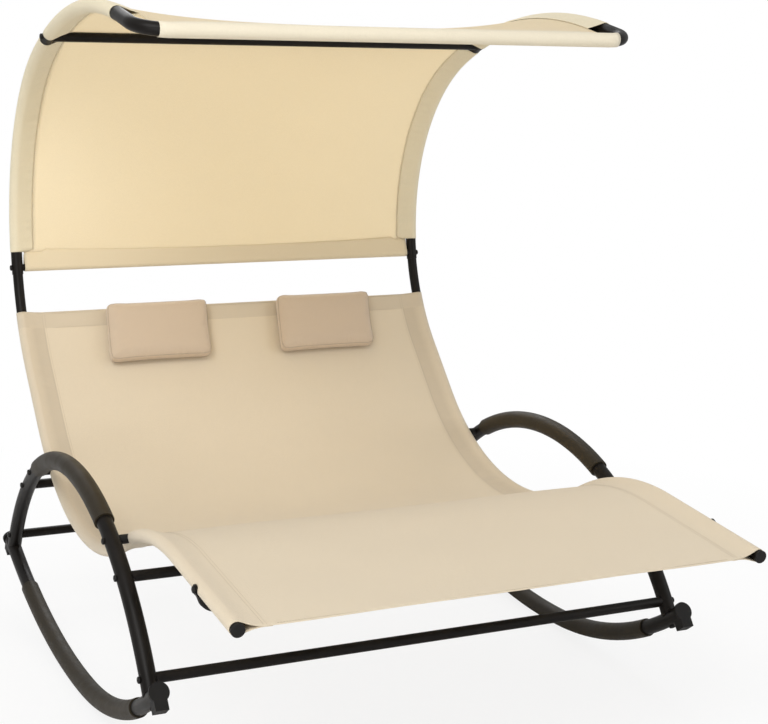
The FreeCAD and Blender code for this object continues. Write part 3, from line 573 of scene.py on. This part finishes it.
rise_x, rise_n = eased(MEET, arc_x[0], arc_n[0], 17)
drop_x, drop_n = eased(MEET, arc_x[-1], arc_n[-1] + LAYER, 17)
drop_x = np.concatenate([drop_x[-2::-1], np.linspace(drop_x[0], SEAM - 0.003, 4)[1:]])
drop_n = np.concatenate([drop_n[-2::-1], np.zeros(3)]) - LAYER
rise_x, rise_n = rise_x[1:-1], rise_n[1:-1]
flat_x = np.linspace(0.0, MEET - BEND, 43)
half_x = np.concatenate([flat_x, rise_x, arc_x, drop_x])
half_n = np.concatenate([0.0 * flat_x, rise_n, arc_n, drop_n])
half_u = lengths(np.stack([half_x, half_n], -1))
sx, sn, su = mirrored(half_x, -1.0), mirrored(half_n), mirrored(half_u, -1.0)
foot_cut = FOOT_CUT + LOOP_CUT * np.clip((np.abs(sx) - SEAM) / LOOP_RUN, 0.0, 1.0)
t = np.linspace(0.0, 1.0, SLING_ROWS)[:, None]
ss = foot_cut[None] + t * (SLING_TOP - foot_cut[None])
slack = np.clip(1.0 - (np.abs(sx) / SEAM) ** 4, 0.0, 1.0)
give = SLACK_HIGH * np.sin(ss * 23.0 + 3.0 * np.cos(sx * 4.0)) * slack
# The gathers are in the upper layer alone.
upper = mirrored(np.arange(len(half_x)) < len(flat_x) + len(rise_x))
sewn = upper * ease((np.abs(sx) - GATHER_IN) / 0.010) * ease((GATHER_OUT - np.abs(sx)) / 0.012)
gather = 0.5 + 0.5 * np.sin(ss * 2.0 * math.pi / GATHER_LONG + 2.2 * np.sin(ss * 17.0 + np.sign(sx)))
give = give + GATHER_HIGH * gather * sewn * ease((ss - GATHER_FROM) / 0.3)
sling = grid("seat_sling_cloth", place(sx[None], ss, sn[None] + give), su[None], ss, slots["sling_cloth"])
thicken(sling, SLING_THICK)
finish_piece(sling, "lounger", "sling_cloth", "seat_sling", "left_sling_sleeve", "right_sling_sleeve")


# Canopy: one sheet drawn over three bars, with side pockets round the tubes.
# Its columns and rows, its cut width, and half its width between the pockets.
NX, NY = 97, 181
SHEET_HALF = 0.572
# How much further it reaches at the rear hem and at the front pocket.
HEM_EXTRA, FRONT_EXTRA = 0.028, 0.006
# How far the shoulder bar lifts its side edges off the tube line, and over what length.
SHOULDER_LIFT, SHOULDER_SPREAD = 0.0142, 0.020
SHOULDER_COVER = 0.0013
# The front tube's bent corners draw the sheet back at its sides: where they start, off the middle,
# their radius, the most of it that is used, and the length over which that fades out.
CORNER_X, CORNER_R, CORNER_MOST, CORNER_FADE = 0.550, 0.070, 0.069, 0.06
# Depth of the rear hem and of the front pocket, from the bar to the seam.
HEM_DEEP, POCKET_DEEP = 0.045, 0.048
# Sweeps that draw the sheet tight, and how many rows either side of a bar can touch it.
SWEEPS, OVER_RELAX, BAR_ROWS = 900, 1.85, 16
# Rows either side of the ridge that bend round the shoulder bar.
CLOSE_ROWS = 3
# Puckers: their size, and how far from a seam they fade.
PUCKER_HIGH, PUCKER_LONG, PUCKER_FADE = 0.0007, 0.024, 0.030
HEM_PUCKER_HIGH, HEM_PUCKER_LONG, HEM_PUCKER_FADE = 0.0008, 0.041, 0.020
xi = np.linspace(-1.0, 1.0, NX)
cs = np.linspace(HEM, FRONT, NY)


def edge_out(s):
    """How far the sheet's side edges stand off the tube line, outwards negative."""
    at_hem = (HEM_R + COVER) * (1.0 - ease((s - HEM) / HEM_DEEP))
    at_front = (FRONT_R + COVER) * (1.0 - ease((FRONT - s) / POCKET_DEEP))
    at_shoulder = SHOULDER_LIFT * np.exp(-((s - SHOULDER) / SHOULDER_SPREAD) ** 2)
    return -at_hem - at_front - at_shoulder


def edge_half(s):
    """Half the sheet's width: full at the hem, in by the pockets along the tubes."""
    at_hem = HEM_EXTRA * (1.0 - ease((s - HEM - 0.041) / 0.008))
    at_front = FRONT_EXTRA * (1.0 - ease((FRONT - s - 0.05) / 0.015))
    return SHEET_HALF + at_hem + at_front


half_w = edge_half(cs)
CX = xi[None] * half_w[:, None]
corner = np.clip(np.abs(CX) - CORNER_X, 0.0, CORNER_MOST)
corner = CORNER_R - np.sqrt(CORNER_R ** 2 - corner ** 2)
corner = corner * np.clip((cs[:, None] - FRONT + CORNER_FADE) / CORNER_FADE, 0.0, 1.0)
Q = np.stack(off(cs[:, None] - corner, edge_out(cs)[:, None]), -1)
ridge = int(np.argmin(abs(cs - SHOULDER)))
bars = [
    (HEM, HEM_R + COVER, 0),
    (SHOULDER, SHOULDER_R + COVER, ridge),
    (FRONT, FRONT_R + COVER, NY - 1),
]
ridge_line = np.array(off(SHOULDER, -(SHOULDER_R + COVER)))
wx, ws = (NX - 1) ** 2 / (2 * SHEET_HALF) ** 2, (NY - 1) ** 2 / (FRONT - HEM) ** 2
parity = (np.add.outer(np.arange(NY), np.arange(NX)) % 2)[1:-1, 1:-1, None]
for sweep in range(SWEEPS):
    for half in (0, 1):
        beside = Q[1:-1, :-2] + Q[1:-1, 2:]
        ahead = Q[:-2, 1:-1] + Q[2:, 1:-1]
        near = (wx * beside + ws * ahead) / (2.0 * (wx + ws))
        Q[1:-1, 1:-1] += np.where(parity == half, OVER_RELAX * (near - Q[1:-1, 1:-1]), 0.0)
    Q[ridge, 1:-1] = ridge_line
    for at, radius, mid in bars:
        lo, hi = max(1, mid - BAR_ROWS), min(NY - 1, mid + BAR_ROWS + 1)
        d = Q[lo:hi, 1:-1] - line(at)[:2]
        r = np.linalg.norm(d, axis=-1, keepdims=True)
        Q[lo:hi, 1:-1] += np.where(r < radius, d * (radius / np.maximum(r, 1e-6) - 1.0), 0.0)


def leave_angle(spots, hub, radius, outward):
    """Angle from the outward way at which a straight pull toward the spots leaves a bar."""
    d = spots - hub
    reach = np.maximum(np.linalg.norm(d, axis=-1), radius)
    turn = np.arctan2(d[..., 1], d[..., 0]) - outward
    turn = (turn + math.pi) % (2.0 * math.pi) - math.pi
    return turn - np.sign(turn) * np.arccos(radius / reach)


# The sheet bends round the shoulder bar on a few close rows.
shoulder_hub = line(SHOULDER)[:2]
outward = math.atan2(*(ridge_line - shoulder_hub)[::-1])
bar_r = SHOULDER_R + SHOULDER_COVER
back_angle = leave_angle(Q[ridge - CLOSE_ROWS - 1, 1:-1], shoulder_hub, bar_r, outward)
roof_angle = leave_angle(Q[ridge + CLOSE_ROWS + 1, 1:-1], shoulder_hub, bar_r, outward)
touching = np.sign(back_angle) != np.sign(roof_angle)
for k in range(-CLOSE_ROWS, CLOSE_ROWS + 1):
    a = outward + back_angle + (roof_angle - back_angle) * (k + CLOSE_ROWS) / (2.0 * CLOSE_ROWS)
    Q[ridge + k, 1:-1] = np.where(touching[:, None], shoulder_hub + bar_r * around(a), Q[ridge + k, 1:-1])


def fold(column_from, centre, radius, inner, turn):
    """Rows that take the sheet on round a bar and back to a seam on its inner side."""
    start = np.arctan2(*(column_from - centre)[..., ::-1].T)
    d = inner - centre
    reach = np.linalg.norm(d, axis=-1)
    end = np.arctan2(d[..., 1], d[..., 0]) - turn * np.arccos(radius / reach)
    sweep_by = (turn * (end - start)) % (2.0 * math.pi)
    rows = []
    for t in np.linspace(0.0, 1.0, 17)[1:]:
        rows.append(centre + radius * around(start + turn * sweep_by * t))
    last = rows[-1]
    for t in np.linspace(0.0, 1.0, 7)[1:]:
        rows.append(last + (inner - last) * t)
    return np.stack(rows)


def seam_inside(columns, reach, side):
    """Where a seam lies, a reach along the sheet from its first row, one layer inside it."""
    run = np.cumsum(np.linalg.norm(np.diff(columns, axis=0), axis=-1), 0)
    k = np.argmax(run >= reach, 0) + 1
    j = np.arange(columns.shape[1])
    way = unit(columns[k + 1, j] - columns[k - 1, j])
    return columns[k, j] + side * LAYER * np.stack([-way[:, 1], way[:, 0]], -1)


def seam_wave(s, sign):
    """The uneven wave along the side seams, alike in the sheet and in the pockets."""
    return np.sin(s * 2.0 * math.pi / PUCKER_LONG + 2.5 * np.sin(s * 37.0 + sign))


# Fine puckers along the side seams and the hem.
from_side = half_w[:, None] - np.abs(CX)
pucker = PUCKER_HIGH * seam_wave(cs[:, None], np.sign(CX))
pucker = pucker * np.exp(-from_side / PUCKER_FADE) * ease(from_side / 0.006)
hem_pucker = HEM_PUCKER_HIGH * np.sin(CX * 2.0 * math.pi / HEM_PUCKER_LONG + 2.0 * np.sin(CX * 19.0))
pucker = pucker + hem_pucker * np.exp(-((cs[:, None] - HEM - HEM_DEEP) / HEM_PUCKER_FADE) ** 2)
heading = line(cs)[:, None, 2]
Q[..., 0] -= np.sin(heading) * pucker
Q[..., 1] += np.cos(heading) * pucker

low_in = seam_inside(Q, HEM_DEEP, 1.0)
low_rows = fold(Q[0], line(HEM)[:2], HEM_R + COVER, low_in, -1.0)
top_in = seam_inside(Q[::-1], POCKET_DEEP, -1.0)
front_hubs = np.stack(off(FRONT - corner[-1], 0.0), -1)
top_rows = fold(Q[-1], front_hubs, FRONT_R + COVER, top_in, 1.0)
full = np.concatenate([low_rows[::-1], Q, top_rows])
full_x = np.concatenate([np.repeat(CX[:1], len(low_rows), 0), CX, np.repeat(CX[-1:], len(top_rows), 0)])
roof_pts = row(full_x, full[..., 0], full[..., 1])
roof_v = lengths(roof_pts[:, NX // 2])
canopy = grid("canopy_sheet", roof_pts, full_x, roof_v[:, None], slots["canopy_cloth"])
thicken(canopy, CANOPY_THICK)
finish_piece(canopy, "lounger", "canopy_cloth",
             "canopy_back_panel", "canopy_roof_panel", "canopy_front_pocket", "canopy_rear_hem")

# Side pockets: rows this far apart, a little wider where they go over the front tube's ends,
# with a wave in the free cloth between the sheet and the tube.
POCKET_STEP = 0.006
POCKET_FLARE = 0.0006
POCKET_WAVE = 0.0009
# They start this far above the hem bar, and leave the shoulder bar's ends bare by this much.
POCKET_START, POCKET_GAP = 0.044, 0.020


def side_pocket(name, sign, s0, s1):
    """Sleeve that carries the sheet on from its side edge round a tube and back."""
    sp = np.linspace(s0, s1, int((s1 - s0) / POCKET_STEP))
    loops = []
    for s in sp:
        r = CANOPY_R + COVER + POCKET_FLARE * ease((s - LAP + 0.014) / 0.010)
        tip = np.array([TUBE_X - edge_half(s), edge_out(s)])
        mid = math.atan2(tip[1], tip[0])
        open_by = math.acos(r / np.linalg.norm(tip))
        ring = r * around(np.linspace(mid + open_by, mid + 2.0 * math.pi - open_by, 29))
        there = tip + np.linspace(0.0, 1.0, 9)[:-1, None] * (ring[0] - tip)
        sewn_at = tip + np.array([0.003, -LAYER])
        home = ring[-1] + np.linspace(0.0, 1.0, 9)[1:, None] * (sewn_at - ring[-1])
        loops.append(np.concatenate([there, ring, home]))
    loops = np.array(loops)
    x = loops[..., 0]
    free = np.clip((x - 0.004) / 0.020, 0.0, 1.0) * np.clip((0.048 - x) / 0.010, 0.0, 1.0)
    wave = seam_wave(sp, sign)
    wave += 0.6 * np.sin(sp * 2.0 * math.pi / 0.0125 + 1.5 * np.sin(sp * 61.0))
    loops[..., 1] += POCKET_WAVE * free * wave[:, None]
    pu = lengths(loops[len(sp) // 2])
    pts = place(sign * (TUBE_X - x), sp[:, None], loops[..., 1])
    obj = grid(name, pts, pu[None], sp[:, None], pocket_cloth)
    thicken(obj, CANOPY_THICK)
    finish_piece(obj, "lounger", "canopy_cloth")
    return obj


# The right roof pocket is pulled further forward over the front tube than the left one.
for sign, side, pull in ((-1.0, "left", 0.005), (1.0, "right", 0.046)):
    back = side_pocket(side + "_back_pocket_cloth", sign, HEM + POCKET_START, SHOULDER - POCKET_GAP)
    side_pocket(side + "_roof_pocket_cloth", sign, SHOULDER + POCKET_GAP, LAP + pull)
    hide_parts(side + "_canopy_pocket")

# Stitching: two rows along each side seam of the sling, two in its top hem, one at its foot edge.
STITCH_LIFT = 0.0008
STITCH_OUT, STITCH_IN = 0.003, 0.004
along = np.linspace(0.006, SLING_TOP - 0.004, 260)
across = np.linspace(-SEAM + 0.01, SEAM - 0.01, 80)
seams = [(x, along) for x in (-BAND - STITCH_OUT, -BAND + STITCH_IN, BAND - STITCH_IN, BAND + STITCH_OUT)]
seams += [(across, s) for s in (SLING_TOP - TOP_HEM, SLING_TOP - 0.005, FOOT_CUT + 0.006)]
rows = []
for x, s in seams:
    p = place(x, s, STITCH_LIFT)
    rows.append((p, place(x, s, STITCH_LIFT + 0.01) - p))
stitches("sling_stitching", rows, sling_thread)


# Pillows: stuffed by a short cloth simulation on a flat block, then laid on the sling.
# Half sizes of the block, its rounding, its crown, and how far a point may move as it swells.
HALF = np.array([0.1540, 0.0968, 0.0190])
ROUNDING = np.array([0.021, 0.021, 0.0175])
CROWN = 0.008
SWELL_CAP = 0.0035
# The share by which its sides pull in between the corners.
PULL_X, PULL_Y = 0.006, 0.010
VOXEL = 0.005
LAST_FRAME = 20
# Up from the sling's top edge to the pillow's, down from there to its middle, and off the sling.
PILLOW_RISE, PILLOW_DROP, PILLOW_OFF = 0.011, 0.0985, 0.0031
# The level, below a pillow's middle, that it is pulled askew about.
SKEW_ABOUT = 0.030
# How far the block's back is lifted, and the level below which it is pressed flat.
BACK_LIFT, PRESS_BELOW = 0.004, 0.002
CREASE_WIDE, CREASE_LONG, CREASE_START, CREASE_PITCH = 0.022, 0.030, 0.006, 0.017
# How much the two pillows' creases differ in heading and in pitch, either way.
TWIST_ANGLE, TWIST_PITCH = 0.08, 0.002
# Creases at a pillow's edge: place, heading and depth.
CREASES = (
    (-0.144, -0.088, 0.55, 0.0014), (0.144, -0.088, 2.5, 0.0013),
    (-0.144, 0.088, -0.6, 0.0008), (0.144, 0.088, -2.5, 0.0009),
    (-0.05, -0.094, 1.4, 0.0008), (0.06, -0.094, 1.7, 0.0007),
)
# The two seams round a pillow, off its back, and the thread's radius.
SEAM_LEVELS = (0.033, 0.012)
SEAM_R = 0.0008
# The rounded rectangle that the seams are drawn in from, and in how many passes.
OUTER_X, OUTER_Y, OUTER_POWER, SETTLE = 0.172, 0.115, 0.16, 4
# Straps: bend radius over the sling's edge, half width, and how far they reach down in front and behind.
STRAP_R, STRAP_HALF, STRAP_THICK = 0.0018, 0.020, 0.0012
STRAP_FRONT, STRAP_BEHIND = 0.045, 0.055
# How far a strap's bend clears the edge, and how far below the edge a spot on the sling is found, with the
# way off it.
STRAP_CLEAR, STRAP_HINGE = 0.0006, 0.030


def spots_of(verts):
    return np.array([v.co[:] for v in verts])


def stuffed(name):
    """A rounded, crowned block, remeshed and swelled by pressure."""
    bm = bmesh.new()
    bmesh.ops.create_cube(bm, size=2.0)
    bmesh.ops.subdivide_edges(bm, edges=bm.edges[:], cuts=22, use_grid_fill=True)
    q = spots_of(bm.verts) * HALF
    inner = np.clip(q, -(HALF - ROUNDING), HALF - ROUNDING)
    d = (q - inner) / ROUNDING
    d /= np.maximum(np.linalg.norm(d, axis=1), 1e-6)[:, None]
    q = inner + d * ROUNDING
    fx, fy = np.clip(abs(q[:, 0]) / HALF[0], 0, 1), np.clip(abs(q[:, 1]) / HALF[1], 0, 1)
    crown = (1.0 - fx ** 3) * (1.0 - fy ** 3)
    q[:, 2] += np.where(q[:, 2] > 0.0, CROWN * crown, 0.0)
    q[:, 0] *= 1.0 - PULL_X * (1.0 - fy ** 2)
    q[:, 1] *= 1.0 - PULL_Y * (1.0 - fx ** 2)
    for v, c in zip(bm.verts, q):
        v.co = c
    mesh = bpy.data.meshes.new(name)
    bm.to_mesh(mesh)
    bm.free()
    obj = bpy.data.objects.new(name, mesh)
    scene.collection.objects.link(obj)
    remesh = obj.modifiers.new("remesh", "REMESH")
    remesh.mode = "VOXEL"
    remesh.voxel_size = VOXEL
    bake_modifiers(obj)
    rest = spots_of(obj.data.vertices)
    cloth = obj.modifiers.new("stuff", "CLOTH")
    cloth.settings.quality = 6
    cloth.settings.mass = 0.25
    cloth.settings.use_pressure = True
    cloth.settings.uniform_pressure_force = 4.0
    cloth.settings.tension_stiffness = 12.0
    cloth.settings.compression_stiffness = 12.0
    cloth.settings.shear_stiffness = 4.0
    cloth.settings.bending_stiffness = 0.3
    cloth.settings.effector_weights.gravity = 0.0
    cloth.collision_settings.use_self_collision = False
    cloth.point_cache.frame_start = 1
    cloth.point_cache.frame_end = LAST_FRAME
    for f in range(1, LAST_FRAME + 1):
        scene.frame_set(f)
    bake_modifiers(obj)
    scene.frame_set(1)
    move = spots_of(obj.data.vertices) - rest
    far = np.linalg.norm(move, axis=1)
    now = rest + move * np.minimum(1.0, SWELL_CAP / np.maximum(far, 1e-9))[:, None]
    obj.data.vertices.foreach_set("co", now.astype(np.float32).ravel())
    return obj


def crease(p, x, y, angle, pitch, deep):
    """Short creases fanning from a spot at the pillow's edge."""
    c, t = math.cos(angle), math.sin(angle)
    a = (p[:, 0] - x) * c + (p[:, 1] - y) * t
    b = -(p[:, 0] - x) * t + (p[:, 1] - y) * c
    ripple = deep * np.cos(2.0 * math.pi * b / pitch) * np.exp(-(b / CREASE_WIDE) ** 2)
    before = np.clip(-a, 0, None) / CREASE_START
    return ripple * np.exp(-np.clip(a, 0, None) / CREASE_LONG - before ** 2)


def laid(p, x0, skew):
    """Flat pillow spots laid on the curved sling, hung a little over its top edge and askew."""
    x = x0 + p[:, 0] + skew * (p[:, 1] + SKEW_ABOUT)
    return place(x, SLING_TOP + PILLOW_RISE - PILLOW_DROP + p[:, 1], PILLOW_OFF + p[:, 2])


def nearest(skin, path):
    return np.array([skin.find_nearest(Vector(c))[0][:] for c in path])


block = stuffed("pillow_block")
block_pts = spots_of(block.data.vertices)
block_nrm = np.array([v.normal[:] for v in block.data.vertices])
block_faces = [tuple(f.vertices) for f in block.data.polygons]
bpy.data.objects.remove(block)
deep_z = block_pts[:, 2] + (HALF[2] + BACK_LIFT)
deep_z = np.where(deep_z < PRESS_BELOW, 0.3 * (deep_z - PRESS_BELOW) + PRESS_BELOW, deep_z)
block_pts[:, 2] = np.maximum(deep_z, 0.0)

# Each pillow's place off the middle, the turn of its creases and its skew.
for side, x0, twist, skew in (("left", -0.244, 1.0, 0.088), ("right", 0.275, -1.0, 0.114)):
    p = block_pts.copy()
    face = ease((p[:, 2] - 0.006) / 0.02)
    dent = np.zeros(len(p))
    for cx, cy, angle, deep in CREASES:
        dent += crease(p, cx, cy, angle + TWIST_ANGLE * twist, CREASE_PITCH + TWIST_PITCH * twist, deep)
    p += block_nrm * (dent * face)[:, None]
    uv = p[:, :2] + block_nrm[:, :2] * p[:, 2:3]
    cover = mesh_object(side + "_pillow_cover", laid(p, x0, skew), block_faces, uv, slots["pillow_cloth"])
    sub = cover.modifiers.new("smooth", "SUBSURF")
    sub.levels = sub.render_levels = 1
    body = side + "_head_pillow"
    finish_piece(cover, body, "pillow_cloth", side + "_pillow")

    # Seams round its edge, drawn in to the cover from a wider rounded rectangle.
    skin = BVHTree.FromPolygons([Vector(c) for c in p], block_faces)
    a = np.linspace(0.0, 2.0 * math.pi, 181)[:-1]
    wide = OUTER_X * np.sign(np.cos(a)) * abs(np.cos(a)) ** OUTER_POWER
    tall = OUTER_Y * np.sign(np.sin(a)) * abs(np.sin(a)) ** OUTER_POWER
    for level in SEAM_LEVELS:
        path = np.stack([wide, tall, level + 0.0 * a], -1)
        for settle in range(SETTLE):
            path = nearest(skin, path)
            path = 0.5 * path + 0.25 * (np.roll(path, 1, 0) + np.roll(path, -1, 0))
            path[:, 2] = level
        seam_name = "%s_pillow_seam_%d" % (side, int(level * 1000))
        seam = closed_cord(seam_name, laid(nearest(skin, path), x0, skew), SEAM_R, pillow_thread)
        finish_piece(seam, body, "pillow_cloth")

    # Strap over the top edge of the sling, from the pillow's back to behind it.
    over = np.linspace(0.0, math.pi, 13)
    front = np.linspace(-STRAP_FRONT, 0.0, 10)[:-1]
    behind = np.linspace(0.0, -STRAP_BEHIND, 12)[1:]
    strap_s = np.concatenate([front, STRAP_CLEAR + STRAP_R * np.sin(over), behind])
    strap_n = np.concatenate([STRAP_R + 0.0 * front, STRAP_R * np.cos(over), -STRAP_R + 0.0 * behind])
    strap_u = np.linspace(-STRAP_HALF, STRAP_HALF, 9)
    strap_v = lengths(np.stack([strap_s, strap_n], -1))
    pts = place(x0 + strap_u[None], SLING_TOP + strap_s[:, None], strap_n[:, None])
    strap = grid(side + "_strap_band", pts, strap_u[None], strap_v[:, None], slots["pillow_cloth"])
    thicken(strap, STRAP_THICK)
    bake_modifiers(strap)
    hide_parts(side + "_pillow_strap")
    mid = place(x0, SLING_TOP - STRAP_HINGE, 0.0)
    way = place(x0, SLING_TOP - STRAP_HINGE, 1.0) - mid
    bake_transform(strap)


# Floor, light and camera.
FLOOR_HALF, FLOOR_Z = 30.0, -0.0005
# The floor turns from showing shadows to plain white between these distances.
FADE_NEAR, FADE_FAR, FADE_SHARE = 0.9, 2.4, 0.84
WORLD_LEVEL = 0.58
LENS, SENSOR = 76.94, 36.0
# The camera's place and its two angles, as fitted to the lounger before it leans.
EYE = (-1.668, -3.912, 1.399)
PAN, TILT = math.radians(-25.416), math.radians(90.0 - 8.472)


def seen_plainly(tree):
    """1 for what the camera sees, straight on or through a clear surface, else 0."""
    ray = tree.nodes.new("ShaderNodeLightPath")
    return maths(tree, "MAXIMUM", ray.outputs["Is Camera Ray"], ray.outputs["Is Transmission Ray"])


floor_mat, tree, shader = paint("studio_floor", (0.82, 0.82, 0.82), 0.9)
white = node(tree, "ShaderNodeEmission", i_Strength=1.0)
where = tree.nodes.new("ShaderNodeNewGeometry").outputs["Position"]
away = node(tree, "ShaderNodeVectorMath", {0: where}, operation="LENGTH")
fade = ramp(tree, away.outputs["Value"], FADE_NEAR, FADE_FAR, FADE_SHARE, 1.0)
grain = noise(tree, object_spot(tree), 40.0, 3.0)
tree.links.new(ramp(tree, grain, 0.3, 0.7, 0.80, 0.92), shader.inputs["Roughness"])
mix_shaders(tree, maths(tree, "MULTIPLY", seen_plainly(tree), fade), shader, white)
floor_pts = [(FLOOR_HALF * x, FLOOR_HALF * y, FLOOR_Z) for x, y in ((-1, -1), (1, -1), (1, 1), (-1, 1))]
floor = mesh_object("floor", floor_pts, [(0, 1, 2, 3)], None, floor_mat)

world = bpy.data.worlds.new("studio")
scene.world = world
world.use_nodes = True
tree = world.node_tree
backdrop = tree.nodes["Background"]
backdrop.inputs["Color"].default_value = (1.0, 1.0, 1.0, 1.0)
tree.links.new(ramp(tree, seen_plainly(tree), 0.0, 1.0, WORLD_LEVEL, 1.0), backdrop.inputs["Strength"])


def lamp(name, at, aim, size, power):
    data = bpy.data.lights.new(name, "AREA")
    data.shape = "RECTANGLE"
    data.size, data.size_y = size
    data.energy = power
    obj = bpy.data.objects.new(name, data)
    scene.collection.objects.link(obj)
    obj.location = at
    obj.rotation_euler = (Vector(aim) - Vector(at)).to_track_quat("-Z", "Y").to_euler()


lamp("key", (-2.6, -2.6, 4.2), (0.0, 0.1, 0.7), (2.6, 2.0), 105.0)
lamp("fill", (3.6, -3.0, 2.2), (0.0, 0.0, 0.8), (2.0, 2.0), 32.0)
lamp("rim", (0.5, 3.6, 3.0), (0.0, 0.4, 1.1), (3.0, 2.0), 60.0)
lamp("front", (-3.2, -4.2, 1.3), (0.0, 0.0, 0.9), (2.4, 1.6), 46.0)

cam = bpy.data.cameras.new("camera")
cam.lens = LENS
cam.sensor_width = SENSOR
cam_obj = bpy.data.objects.new("camera", cam)
scene.collection.objects.link(cam_obj)
turn = Matrix.Rotation(-LEAN, 4, "X") @ Matrix.Rotation(PAN, 4, "Z") @ Matrix.Rotation(TILT, 4, "X")
cam_obj.matrix_world = Matrix.Translation(Vector(row(*EYE))) @ turn
scene.camera = cam_obj
scene.view_settings.view_transform = "Standard"
